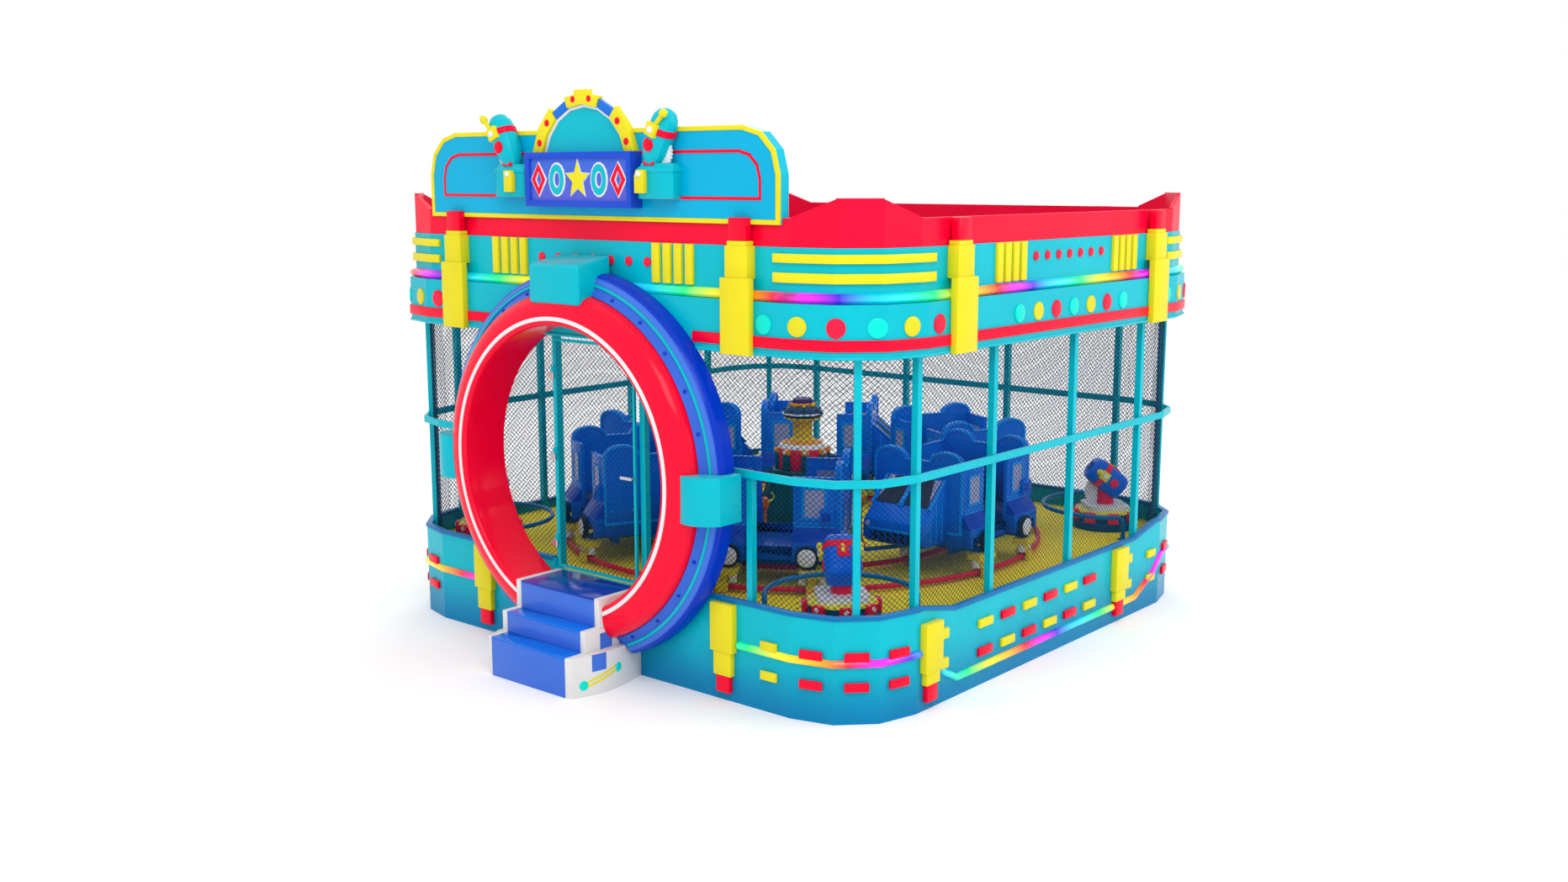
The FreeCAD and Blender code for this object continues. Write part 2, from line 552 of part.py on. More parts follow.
side_low, side_high = [f"(side_clamp_height {sign} clamp_height / 2)" for sign in "-+"]
clamp_blanks = [slab("-clamp_width / 2", "clamp_width / 2", clamp_front, ring_back,
                     "portal_height + lip_radius - clamp_grip", "portal_height + portal_radius + clamp_over")]
for x_low, x_high in (("-clamp_reach", "-side_clamp_inner"), ("side_clamp_inner", "clamp_reach")):
    clamp_blanks.append(slab(x_low, x_high, clamp_front, ring_back, side_low, side_high))
portal_solid = group(tunnel + ring)
node("portal_clamps", [cut(blank, portal_solid) for blank in clamp_blanks])

# ---------------------------------------------------------------- net gate in the doorway, hinges and latch
leaf_edge = "(gate_post - post_width / 2 - gate_gap)"
leaf_low, leaf_high = "(sill_height + gate_clearance)", "(fascia_bottom - gate_clearance)"
leaf_front = f"(-{HALF_Y} - leaf_proud)"
leaf_back = f"({leaf_front} + gate_bar)"
hinge_x, hinge_y = f"(-{leaf_edge})", f"({leaf_front} - hinge_radius - 1)"
hinge_heights = [f"{leaf_low} + hinge_end", f"({leaf_low} + {leaf_high}) / 2",
                 f"{leaf_high} - hinge_end - hinge_length"]
stile = [slab(low, high, leaf_front, leaf_back, leaf_low, leaf_high) for low, high in
         ((f"-{leaf_edge}", f"-{leaf_edge} + gate_bar"), (f"{leaf_edge} - gate_bar", leaf_edge))]
bars = [slab(f"-{leaf_edge} + gate_bar", f"{leaf_edge} - gate_bar", leaf_front, leaf_back, low, high)
        for low, high in ((leaf_low, f"{leaf_low} + gate_bar"), (f"{leaf_high} - gate_bar", leaf_high))]
knuckles, pins = [], []
for height in hinge_heights:
    eye = rod(hinge_x, hinge_y, f"{height} + 1", "hinge_radius", "hinge_length")
    hole = rod(hinge_x, hinge_y, f"{height}", "hinge_pin_radius + running_gap", "hinge_length + 2")
    tab = slab(hinge_x, f"{hinge_x} + gate_bar", hinge_y, leaf_front, f"{height} + 1",
               f"{height} + 1 + hinge_length")
    knuckles.append(cut(joined([eye, tab]), hole))
    lower = rod(hinge_x, hinge_y, f"{height} - hinge_length", "hinge_radius", "hinge_length")
    pin = rod(hinge_x, hinge_y, f"{height} - hinge_length", "hinge_pin_radius", "2 * hinge_length + 6")
    lug = slab("-gate_post - post_width / 2", f"{hinge_x} - lug_clearance", hinge_y,
               f"-{HALF_Y} + wall_thickness", f"{height} - hinge_length", height)
    pins.append(joined([lower, pin, lug]))
node("gate_frame", stile + bars + knuckles)
net_front = f"({leaf_front} + (gate_bar - net_thickness) / 2)"
node("gate_net", [slab(f"-{leaf_edge} + gate_bar", f"{leaf_edge} - gate_bar", net_front,
                       f"{net_front} + net_thickness", f"{leaf_low} + gate_bar", f"{leaf_high} - gate_bar")])
node("gate_hinges", pins)
latch_x, latch_z = f"({leaf_edge} - gate_bar / 2)", f"({leaf_low} + 0.45 * ({leaf_high} - {leaf_low}))"
spindle = rod(latch_x, f"{leaf_front} - latch_proud", latch_z, "latch_radius", "latch_proud", "y")
lever = slab(f"{latch_x} - lever_length", f"{latch_x} + lever_width / 2",
             f"{leaf_front} - latch_proud - lever_width / 2", f"{leaf_front} - latch_proud",
             f"{latch_z} - lever_width / 2", f"{latch_z} + lever_width / 2")
node("gate_latch", [joined([spindle, lever])])

# ---------------------------------------------------------------- sign board over the entrance
board_front = f"(-{HALF_Y} - board_proud)"


def rounded(turns, side):
    """Corner points of the board, from its upright edge to its top edge."""
    made = []
    for step in turns:
        made.append((f"{side} * (board_reach - board_corner + board_corner * cos({step}))",
                     f"board_top - board_corner + board_corner * sin({step})"))
    return made


board = [("-board_reach", "board_bottom"), ("board_reach", "board_bottom")]
board += rounded((0, 30, 60, 90), 1) + rounded((90, 60, 30, 0), -1)
node("sign_board", [plate("XZ_Plane", board, "board_thickness", y=f"{board_front} + board_thickness")])
node("sign_box", [slab("-box_reach", "box_reach", f"{board_front} - box_depth", board_front, "box_bottom",
                       "box_top")])
arch_foot = "asin((box_top - arch_centre) / arch_radius)"
arch = [("-box_reach + 5", "box_top"), ("box_reach - 5", "box_top")]
for step in range(9):
    angle = f"({arch_foot} + {step} * (180 deg - 2 * {arch_foot}) / 8)"
    arch.append((f"arch_radius * cos({angle})", f"arch_centre + arch_radius * sin({angle}) + 1"))
node("sign_arch", [plate("XZ_Plane", arch, "arch_depth", y=board_front)])

ornaments = []
for side in (1, -1):
    plan = [("plinth_inner", board_front), ("plinth_inner", f"{board_front} - 0.65 * plinth_depth"),
            ("plinth_inner + 90", f"{board_front} - plinth_depth"),
            ("plinth_outer - 90", f"{board_front} - plinth_depth"),
            ("plinth_outer", f"{board_front} - 0.65 * plinth_depth"), ("plinth_outer", board_front)]
    ornaments.append(plate("XY_Plane", [(f"{side} * ({x})", y) for x, y in plan],
                           "plinth_top - plinth_bottom", z="plinth_bottom"))
    middle = f"{side} * ((plinth_inner + plinth_outer) / 2)"
    stand = slab(f"{middle} - 60", f"{middle} + 60", f"{board_front} - 130", f"{board_front} - 40",
                 "plinth_top", "plinth_top + stand_height")
    body = doc.addObject("Part::Cylinder", "rocket")
    bind(body, Radius="sign_rocket_radius", Height="sign_rocket_length")
    place(body, f"{middle} - {side} * 40", f"{board_front} - 90", "plinth_top + stand_height + 15", (0, 1, 0),
          f"{side} * sign_rocket_tilt")
    ornaments += [cut(stand, body), body]
node("sign_ornaments", ornaments)

# ---------------------------------------------------------------- rails that the bogies run on
RAIL_LENGTHS = 12


def track(radius):
    """A ring of round rail in equal curved lengths, laid end to end on the deck."""
    made = []
    for index in range(RAIL_LENGTHS):
        length = bind(doc.addObject("Part::Torus", "rail"), Radius1=radius, Radius2="track_tube")
        length.Angle3 = 360 / RAIL_LENGTHS
        made.append(place(length, "0", "0", "track_height", angle=index * 360 / RAIL_LENGTHS))
    return made


node("outer_rail", track("outer_track"))
node("inner_rail", track("inner_track"))

# ---------------------------------------------------------------- corner figures and their guard rails
bases, rockets, guards = [], [], []
for side_x, side_y, start in CORNERS:
    x, y = f"{side_x} * figure_place", f"{side_y} * figure_place"
    drum_top = "(deck_height + figure_drum)"
    plate_top = f"({drum_top} + figure_plate)"
    bases += [rod(x, y, "deck_height", "figure_radius", "figure_drum"),
              prism(x, y, drum_top, "0.85 * figure_radius", "figure_plate"),
              slab(f"{x} - plinth_size / 2", f"{x} + plinth_size / 2", f"{y} - plinth_size / 2",
                   f"{y} + plinth_size / 2", plate_top, f"{plate_top} + 50")]
    inward = start + 45 + 180
    stand = slab("-70", "70", "-90", "90", f"{plate_top} + 50", "rocket_height - rocket_radius - 5")
    body = bind(doc.addObject("Part::Cylinder", "rocket"), Radius="rocket_radius", Height="rocket_length")
    place(body, "-rocket_length / 2 * cos(rocket_tilt)", "0",
          "rocket_height + 20 - rocket_length / 2 * sin(rocket_tilt)", (0, 1, 0), "90 - rocket_tilt")
    rockets.append(place(group([cut(stand, body), body]), x, y, "0", angle=inward))
    for third in (-1, 0, 1):
        arc = bind(doc.addObject("Part::Torus", "guard"), Radius1="guard_radius", Radius2="guard_tube")
        arc.Angle3 = 60
        guards.append(place(arc, x, y, "guard_height", angle=inward + 60 * third - 30))
    for end in (-90, 90):
        reach = f"guard_radius * cos({inward + end})", f"guard_radius * sin({inward + end})"
        guards.append(rod(f"{x} + {reach[0]}", f"{y} + {reach[1]}", "deck_height", "guard_tube",
                          "guard_height - deck_height - guard_tube"))
node("figure_bases", bases)
node("figure_rockets", rockets)
node("guard_rails", guards)

# ---------------------------------------------------------------- centre tower and the posts round it
node("tower_base", [spire("deck_height", "tower_foot", "tower_break", "tower_neck")])
node("tower_drum", [prism("0", "0", "tower_break", "drum_radius", "drum_top - tower_break"),
                    spire("drum_top", "drum_radius", "collar_top", "collar_radius")])


def cone(z_low, radius_low, z_high, radius_high):
    thing = doc.addObject("Part::Cone", "cone")
    bind(thing, Radius1=radius_low, Radius2=radius_high, Height=f"({z_high}) - ({z_low})")
    return place(thing, "0", "0", z_low)


node("tower_top", [rod("0", "0", "collar_top", "column_radius", "column_top - collar_top"),
                   cone("column_top", "column_radius + 10", "column_top + 45", "0.85 * saucer_radius"),
                   cone("column_top + 45", "0.9 * saucer_radius", "saucer_height", "saucer_radius"),
                   cone("saucer_height", "saucer_radius", "saucer_height + 80", "dome_radius + 20"),
                   cone("saucer_height + 80", "dome_radius", "dome_top", "0.55 * dome_radius")])
claws = []
for index in range(CARS):
    stem = [slab("claw_ring - 60", "claw_ring + 60", "-70", "70", "deck_height", "deck_height + 40"),
            rod("claw_ring", "0", "deck_height + 40", "32", "claw_top - deck_height - 190"),
            rod("claw_ring", "0", "claw_top - 150", "48", "150"),
            slab("claw_ring + 48", "claw_ring + 100", "-30", "30", "claw_top - 130", "claw_top - 20")]
    claws.append(turned(group(stem), f"claw_angle + {index * PITCH}"))
node("claw_posts", claws)

# ---------------------------------------------------------------- one car, at angle 0: +x outward, -y ahead
pan_top = "(car_bottom + pan_thickness)"
mid = "((car_inner + car_outer) / 2)"


def hump_panel(y):
    """An end panel with two rounded humps; its back face is at y."""
    points = [("car_inner", pan_top), ("car_outer", pan_top), ("car_outer", "car_shoulder")]
    for side in (1, -1):
        for step in range(7):
            angle = step * 30
            points.append((f"{mid} + {side} * hump_offset + hump_reach * cos({angle})",
                           f"car_shoulder + hump_height * sin({angle})"))
    points.append(("car_inner", "car_shoulder"))
    return plate("XZ_Plane", points, "car_panel", y=y)


def pillar(x_low, ahead):
    """A window pillar on a car's side, from the door gap to the end panel, with its pane opening."""
    near, far = "door_reach", ("car_front - car_panel" if ahead else "car_rear - car_panel")
    sign = -1 if ahead else 1
    y_low, y_high = (f"-({far})", f"-{near}") if ahead else (near, far)
    centre = f"({sign} * ({near} + {far}) / 2)"
    wall = slab(x_low, f"{x_low} + car_panel", y_low, y_high, "door_sill", "car_shoulder - 30")
    opening = slab(f"{x_low} - 5", f"{x_low} + car_panel + 5", f"{centre} - pane_width / 2",
                   f"{centre} + pane_width / 2", "pane_low", "pane_high")
    pane = slab(f"{x_low} + 12", f"{x_low} + 28", f"{centre} - pane_width / 2", f"{centre} + pane_width / 2",
                "pane_low", "pane_high")
    return cut(wall, opening), pane


def axle_holes(radius):
    return group([rod("car_inner - 150", f"{side} * axle_offset", "axle_height", radius,
                      "car_outer - car_inner + 300", "x") for side in (-1, 1)])


front_y_car, rear_y_car = "(-car_front)", "car_rear"
shell = [slab("car_inner", "car_outer", front_y_car, rear_y_car, "car_bottom", pan_top),
         hump_panel(f"{front_y_car} + car_panel"), hump_panel(rear_y_car)]
panes = []
inside_front, inside_rear = f"{front_y_car} + car_panel", f"{rear_y_car} - car_panel"
for x_low in ("car_inner", "(car_outer - car_panel)"):
    sill_wall = slab(x_low, f"{x_low} + car_panel", inside_front, inside_rear, pan_top, "door_sill")
    shell.append(cut(sill_wall, axle_holes("axle_radius + axle_play")))
    for ahead in (True, False):
        wall, pane = pillar(x_low, ahead)
        shell.append(wall)
        panes.append(pane)
nose = plate("YZ_Plane", [(front_y_car, "nose_bottom"), (front_y_car, "scuttle_height"),
                          (f"-(0.7 * nose_reach + 0.3 * car_front)", "hood_height"),
                          (f"-nose_reach + 60", "hood_height - 60"), ("-nose_reach", "nose_height"),
                          ("-nose_reach", "nose_bottom")], "nose_outer - nose_inner", x="nose_inner")
shell.append(nose)
for side in (-1, 1):
    near, far = ("-car_front", "-door_reach") if side < 0 else ("door_reach", "car_rear")
    for x_low, x_high in (("car_outer", "car_outer + fender_proud"),
                          ("car_inner - fender_proud", "car_inner")):
        fender = slab(x_low, x_high, near, far, "car_bottom + 10", "fender_height")
        shell.append(cut(fender, axle_holes("axle_radius + axle_play")))
car_shell = group(shell, "car_shell")

seats = []
for side in (-1, 1):
    at = f"({side} * (axle_offset + 50))"
    bench = slab("car_inner + car_panel + seat_play", "car_outer - car_panel - seat_play",
                 f"{at} - seat_depth / 2", f"{at} + seat_depth / 2", pan_top, "seat_height")
    seats.append(cut(bench, axle_holes("axle_radius + 2 * axle_play")))
car_seat_set, car_pane_set = group(seats), group(panes)

# chassis under the pan: two long beams, a cross beam at each bogie line, and the bar to the next car
beam_low = "(car_bottom - chassis_depth)"
yoke_gap = "(outer_track - inner_track - yoke_width)"
first_beam = "(inner_track + yoke_width / 2 + beam_width / 2 + yoke_clearance)"
second_beam = f"(inner_track + yoke_width / 2 + 0.714 * {yoke_gap})"
chassis = [slab(f"{x} - beam_width / 2", f"{x} + beam_width / 2", front_y_car, rear_y_car, beam_low,
                "car_bottom") for x in (first_beam, second_beam)]
for side in (-1, 1):
    at = f"({side} * bogie_offset)"
    y_low, y_high = f"{at} - leg_half", f"{at} + leg_half"
    chassis.append(slab(f"{first_beam} + beam_width / 2", f"{second_beam} - beam_width / 2", y_low, y_high,
                        beam_low, "car_bottom"))
    chassis.append(slab("inner_track - leg_reach", f"{first_beam} - beam_width / 2", y_low, y_high,
                        "yoke_high", "car_bottom"))
    chassis.append(slab(f"{second_beam} + beam_width / 2", "car_outer + fender_proud - leg_set_back", y_low,
                        y_high, "yoke_high", "car_bottom"))
hitch_x = f"({mid} + hitch_set_out)"
next_x = f"({hitch_x} * cos({PITCH}) + (car_front - hitch_tuck) * sin({PITCH}))"
next_y = f"({hitch_x} * sin({PITCH}) - (car_front - hitch_tuck) * cos({PITCH}))"
start_y = f"({rear_y_car} - hitch_tuck)"
run_x, run_y = f"({next_x} - {hitch_x})", f"({next_y} - {start_y})"
draw_bar = block("0", "-bar_width / 2", "0", f"sqrt({run_x}^2 + {run_y}^2)", "bar_width", "bar_depth")
draw_angle = math.degrees(math.atan2(value(run_y), value(run_x)))
chassis.append(place(group([draw_bar]), hitch_x, start_y, "car_bottom - bar_depth", angle=draw_angle))
car_chassis_set = group(chassis)

# a bogie: yoke on top, two guide rollers, and a saddle that straddles the rail
yokes, rollers = [], []
for track_radius in ("outer_track", "inner_track"):
    for side in (-1, 1):
        at = f"({side} * bogie_offset)"
        # the bogie stands square to the rail, so it is built on the x axis and turned to its place
        lean = f"asin({at} / {track_radius})"
        top = "(track_height + track_tube + saddle_gap)"
        pad_top, crown = f"({top} + saddle_plate)", "yoke_low"
        hub = "(roller_pitch / 2 - roller_radius - roller_clearance)"
        yoke = [slab(f"{track_radius} - yoke_width / 2", f"{track_radius} + yoke_width / 2",
                     "-yoke_length / 2", "yoke_length / 2", crown, "yoke_high"),
                slab(f"{track_radius} - hub_half", f"{track_radius} + hub_half", f"-{hub}", hub, pad_top,
                     crown),
                slab(f"{track_radius} - saddle_half", f"{track_radius} + saddle_half", "-saddle_length / 2",
                     "saddle_length / 2", top, pad_top)]
        for low, high in (("-saddle_half", "-saddle_inner"), ("saddle_inner", "saddle_half")):
            yoke.append(slab(f"{track_radius} + ({low})", f"{track_radius} + ({high})", "-saddle_length / 2",
                             "saddle_length / 2", "deck_height + deck_clearance", top))
        yokes.append(turned(group(yoke), lean))
        for end in (-1, 1):
            roller_low = f"({pad_top} + 2 * roller_play)"
            roller = rod(track_radius, f"{end} * roller_pitch / 2", roller_low, "roller_radius",
                         f"yoke_low - {roller_low} - roller_play")
            rollers.append(turned(roller, lean))
car_yoke_set, car_roller_set = group(yokes), group(rollers)

motor = [rod(hitch_x, "-motor_length / 2", "car_bottom - 60", "motor_radius", "motor_length", "y"),
         slab(f"{hitch_x} - 50", f"{hitch_x} + 50", "motor_length / 2", "motor_length / 2 + gearbox_length",
              "car_bottom - 110", "car_bottom - 1")]
car_motor_set = group(motor)

axle_set = {}
for name, side in (("front", -1), ("rear", 1)):
    at = f"{side} * axle_offset"
    outer_face = "(car_outer + fender_proud + wheel_play)"
    inner_face = "(car_inner - fender_proud - wheel_play)"
    axle_set[name] = group([
        rod(inner_face, at, "axle_height", "axle_radius", f"{outer_face} - {inner_face}", "x"),
        rod(outer_face, at, "axle_height", "wheel_radius", "wheel_width", "x"),
        rod(f"{inner_face} - wheel_width", at, "axle_height", "wheel_radius", "wheel_width", "x")])


def car_turn(index):
    return f"ride_angle + {index * PITCH}"


for index in range(CARS):
    node(f"car_{index + 1}_shell", [turned(car_shell, car_turn(index))])
    for name in ("front", "rear"):
        node(f"car_{index + 1}_{name}_wheels", [turned(axle_set[name], car_turn(index))])
for name, source in (("car_seats", car_seat_set), ("car_windows", car_pane_set),
                     ("car_chassis", car_chassis_set), ("drive_motors", car_motor_set),
                     ("bogie_yokes", car_yoke_set), ("bogie_rollers", car_roller_set)):
    node(name, [turned(source, car_turn(index)) for index in range(CARS)])

# ---------------------------------------------------------------- check and write
doc.recompute()
failed = [thing.Label for thing in doc.Objects if {"Invalid", "Error"} & set(thing.State)]
if failed:
    raise SystemExit("not computed: " + ", ".join(failed))
for name, thing in nodes.items():
    if thing.Shape.isNull() or not thing.Shape.isValid() or not thing.Shape.Solids:
        raise SystemExit("bad shape: " + name)

os.makedirs("parts", exist_ok=True)
for name, thing in nodes.items():
    thing.Shape.exportStep(f"parts/{name}.step")
print(len(nodes), "nodes,", sum(len(thing.Shape.Solids) for thing in nodes.values()), "solids")
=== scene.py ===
from math import asin, atan2, cos, pi, radians, sin, sqrt

import bmesh
import bpy
from mathutils import Matrix, Vector


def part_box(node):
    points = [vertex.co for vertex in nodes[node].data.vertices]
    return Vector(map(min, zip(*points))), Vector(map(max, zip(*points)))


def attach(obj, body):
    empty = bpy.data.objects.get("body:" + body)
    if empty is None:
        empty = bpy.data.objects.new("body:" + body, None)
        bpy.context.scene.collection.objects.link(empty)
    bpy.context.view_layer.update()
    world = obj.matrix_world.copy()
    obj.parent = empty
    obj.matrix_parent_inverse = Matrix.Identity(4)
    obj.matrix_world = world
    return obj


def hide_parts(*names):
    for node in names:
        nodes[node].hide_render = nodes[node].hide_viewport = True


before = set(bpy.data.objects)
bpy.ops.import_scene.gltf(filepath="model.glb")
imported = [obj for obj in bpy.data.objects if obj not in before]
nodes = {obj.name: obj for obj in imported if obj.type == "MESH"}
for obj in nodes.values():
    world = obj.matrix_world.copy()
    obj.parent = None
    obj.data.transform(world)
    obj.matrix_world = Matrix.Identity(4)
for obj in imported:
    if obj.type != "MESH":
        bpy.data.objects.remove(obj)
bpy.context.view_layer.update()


# ==== Studio =========================================================================================
# A pale seamless floor under a white sky, two big soft lamps, and a camera standing off the entrance
# corner at a little over head height on a raised platform, looking slightly down.
scene = bpy.context.scene
scene.view_settings.view_transform = "Standard"

camera = bpy.data.objects.new("camera", bpy.data.cameras.new("camera"))
camera.data.lens = 34.82
camera.location = (9.8456, -12.0883, 4.3931)
heading, dip = -0.6959, -0.1729
forward = Vector((sin(heading) * cos(dip), cos(heading) * cos(dip), sin(dip)))
camera.rotation_mode = "QUATERNION"
camera.rotation_quaternion = forward.to_track_quat("-Z", "Y")
camera.data.clip_end = 400
scene.collection.objects.link(camera)
scene.camera = camera

world = bpy.data.worlds.new("white sky")
world.use_nodes = True
world.node_tree.nodes["Background"].inputs["Color"].default_value = (1, 1, 1, 1)
world.node_tree.nodes["Background"].inputs["Strength"].default_value = 1.0
scene.world = world

for lamp_name, where, power, size in (("key lamp", (8, -9, 11), 480, 6), ("side lamp", (11, 3, 7), 200, 6),
                                      ("back lamp", (-8, 8, 9), 300, 7)):
    lamp = bpy.data.objects.new(lamp_name, bpy.data.lights.new(lamp_name, "AREA"))
    lamp.data.energy = power
    lamp.data.size = size
    lamp.location = where
    lamp.rotation_mode = "QUATERNION"
    lamp.rotation_quaternion = (Vector((0, 0, 1.5)) - Vector(where)).to_track_quat("-Z", "Y")
    scene.collection.objects.link(lamp)

floor_mesh = bpy.data.meshes.new("studio_floor")
reach = 60
floor_mesh.from_pydata([(-reach, -reach, 0), (reach, -reach, 0), (reach, reach, 0), (-reach, reach, 0)],
                       [], [(0, 1, 2, 3)])
floor = bpy.data.objects.new("studio_floor", floor_mesh)
scene.collection.objects.link(floor)
pale = bpy.data.materials.new("pale floor")
pale.use_nodes = True
pale_shader = pale.node_tree.nodes["Principled BSDF"]
pale_shader.inputs["Roughness"].default_value = 0.9
pale_shader.inputs["Specular IOR Level"].default_value = 0.1
pale_shader.inputs["Emission Color"].default_value = (1, 1, 1, 1)
pale_shader.inputs["Emission Strength"].default_value = 0.08
pale_noise = pale.node_tree.nodes.new("ShaderNodeTexNoise")
pale_noise.inputs["Scale"].default_value = 0.4
pale_ramp = pale.node_tree.nodes.new("ShaderNodeValToRGB")
pale_ramp.color_ramp.elements[0].color = (0.93, 0.93, 0.935, 1)
pale_ramp.color_ramp.elements[1].color = (0.95, 0.95, 0.95, 1)
pale.node_tree.links.new(pale_noise.outputs["Fac"], pale_ramp.inputs["Fac"])
pale.node_tree.links.new(pale_ramp.outputs["Color"], pale_shader.inputs["Base Color"])
floor_mesh.materials.append(pale)


# ==== Floor frame and deck ===========================================================================
# Steel joists on short legs carry a yellow-painted sheet deck. The paint is the finish that every
# coloured piece shares: a slightly uneven coat, with dust where a face looks up, and on the skirt, the
# car bodies and the tower cone a fade to a darker tint low down, which is painted shade.
def group_tree(name, inputs, outputs):
    """A shader node group with named sockets; returns the tree with its input and output nodes."""
    tree = bpy.data.node_groups.new(name, "ShaderNodeTree")
    for label, kind, value in inputs:
        socket = tree.interface.new_socket(label, in_out="INPUT", socket_type=kind)
        socket.default_value = value
    for label, kind in outputs:
        tree.interface.new_socket(label, in_out="OUTPUT", socket_type=kind)
    return tree, tree.nodes.new("NodeGroupInput"), tree.nodes.new("NodeGroupOutput")


def add_node(tree, kind, **settings):
    node = tree.nodes.new(kind)
    for key, value in settings.items():
        if hasattr(node, key):
            setattr(node, key, value)
        else:
            node.inputs[key.replace("_", " ")].default_value = value
    return node


def join(tree, *pairs):
    """Links each output to its input."""
    for output, target in pairs:
        tree.links.new(output, target)


COAT_INPUTS = [
    ("Colour", "NodeSocketColor", (0.5, 0.5, 0.5, 1)), ("Low tint", "NodeSocketColor", (0.5, 0.5, 0.5, 1)),
    ("Low", "NodeSocketFloat", 0.0), ("High", "NodeSocketFloat", 0.01), ("Unevenness", "NodeSocketFloat", 0.06),
    ("Roughness", "NodeSocketFloat", 0.25), ("Dust", "NodeSocketFloat", 0.08),
    ("Peel size", "NodeSocketFloat", 60.0)]
paint_and_shade_tree, coat_in, coat_out = group_tree("paint coat with dust and painted shade fade", COAT_INPUTS, [
    ("Colour", "NodeSocketColor"), ("Roughness", "NodeSocketFloat"), ("Height", "NodeSocketFloat")])
place = add_node(paint_and_shade_tree, "ShaderNodeTexCoord")
split = add_node(paint_and_shade_tree, "ShaderNodeSeparateXYZ")
join(paint_and_shade_tree, (place.outputs["Object"], split.inputs[0]))
# Below the Low height the colour fades to the Low tint; on the skirt, the car bodies and the tower cone that
# darker tint is painted shade.
fade = add_node(paint_and_shade_tree, "ShaderNodeMapRange", interpolation_type="SMOOTHSTEP")
join(paint_and_shade_tree, (split.outputs["Z"], fade.inputs["Value"]),
     (coat_in.outputs["Low"], fade.inputs["From Min"]),
     (coat_in.outputs["High"], fade.inputs["From Max"]))
tint = add_node(paint_and_shade_tree, "ShaderNodeMix", data_type="RGBA")
join(paint_and_shade_tree, (fade.outputs["Result"], tint.inputs["Factor"]),
     (coat_in.outputs["Low tint"], tint.inputs[6]), (coat_in.outputs["Colour"], tint.inputs[7]))
clouds = add_node(paint_and_shade_tree, "ShaderNodeTexNoise", Scale=1.3, Detail=3.0)
join(paint_and_shade_tree, (place.outputs["Object"], clouds.inputs["Vector"]))
swing = add_node(paint_and_shade_tree, "ShaderNodeMapRange")
swing.inputs["From Min"].default_value, swing.inputs["From Max"].default_value = 0.3, 0.7
join(paint_and_shade_tree, (clouds.outputs["Fac"], swing.inputs["Value"]))
less = add_node(paint_and_shade_tree, "ShaderNodeMath", operation="SUBTRACT")
less.inputs[0].default_value = 1.0
join(paint_and_shade_tree, (coat_in.outputs["Unevenness"], less.inputs[1]),
     (less.outputs[0], swing.inputs["To Min"]))
more = add_node(paint_and_shade_tree, "ShaderNodeMath", operation="ADD")
more.inputs[0].default_value = 1.0
join(paint_and_shade_tree, (coat_in.outputs["Unevenness"], more.inputs[1]),
     (more.outputs[0], swing.inputs["To Max"]))
shade = add_node(paint_and_shade_tree, "ShaderNodeVectorMath", operation="SCALE")
join(paint_and_shade_tree, (tint.outputs[2], shade.inputs[0]), (swing.outputs["Result"], shade.inputs["Scale"]))
facing = add_node(paint_and_shade_tree, "ShaderNodeNewGeometry")
upward = add_node(paint_and_shade_tree, "ShaderNodeSeparateXYZ")
join(paint_and_shade_tree, (facing.outputs["Normal"], upward.inputs[0]))
settled = add_node(paint_and_shade_tree, "ShaderNodeMapRange", interpolation_type="SMOOTHSTEP")
settled.inputs["From Min"].default_value = 0.55
join(paint_and_shade_tree, (upward.outputs["Z"], settled.inputs["Value"]))
speckle = add_node(paint_and_shade_tree, "ShaderNodeTexNoise", Scale=9.0, Detail=5.0)
join(paint_and_shade_tree, (place.outputs["Object"], speckle.inputs["Vector"]))
dust_amount = add_node(paint_and_shade_tree, "ShaderNodeMath", operation="MULTIPLY")
join(paint_and_shade_tree, (settled.outputs["Result"], dust_amount.inputs[0]),
     (speckle.outputs["Fac"], dust_amount.inputs[1]))
dusting = add_node(paint_and_shade_tree, "ShaderNodeMath", operation="MULTIPLY")
join(paint_and_shade_tree, (dust_amount.outputs[0], dusting.inputs[0]), (coat_in.outputs["Dust"], dusting.inputs[1]))
dusty = add_node(paint_and_shade_tree, "ShaderNodeMix", data_type="RGBA")
dusty.inputs[7].default_value = (0.72, 0.73, 0.76, 1)
join(paint_and_shade_tree, (dusting.outputs[0], dusty.inputs["Factor"]), (shade.outputs[0], dusty.inputs[6]),
     (dusty.outputs[2], coat_out.inputs["Colour"]))
rub = add_node(paint_and_shade_tree, "ShaderNodeMath", operation="MULTIPLY_ADD")
join(paint_and_shade_tree, (speckle.outputs["Fac"], rub.inputs[0]))
rub.inputs[1].default_value = 0.12
join(paint_and_shade_tree, (coat_in.outputs["Roughness"], rub.inputs[2]),
     (rub.outputs[0], coat_out.inputs["Roughness"]))
peel = add_node(paint_and_shade_tree, "ShaderNodeTexNoise", Detail=2.0)
join(paint_and_shade_tree, (place.outputs["Object"], peel.inputs["Vector"]),
     (coat_in.outputs["Peel size"], peel.inputs["Scale"]),
     (peel.outputs["Fac"], coat_out.inputs["Height"]))


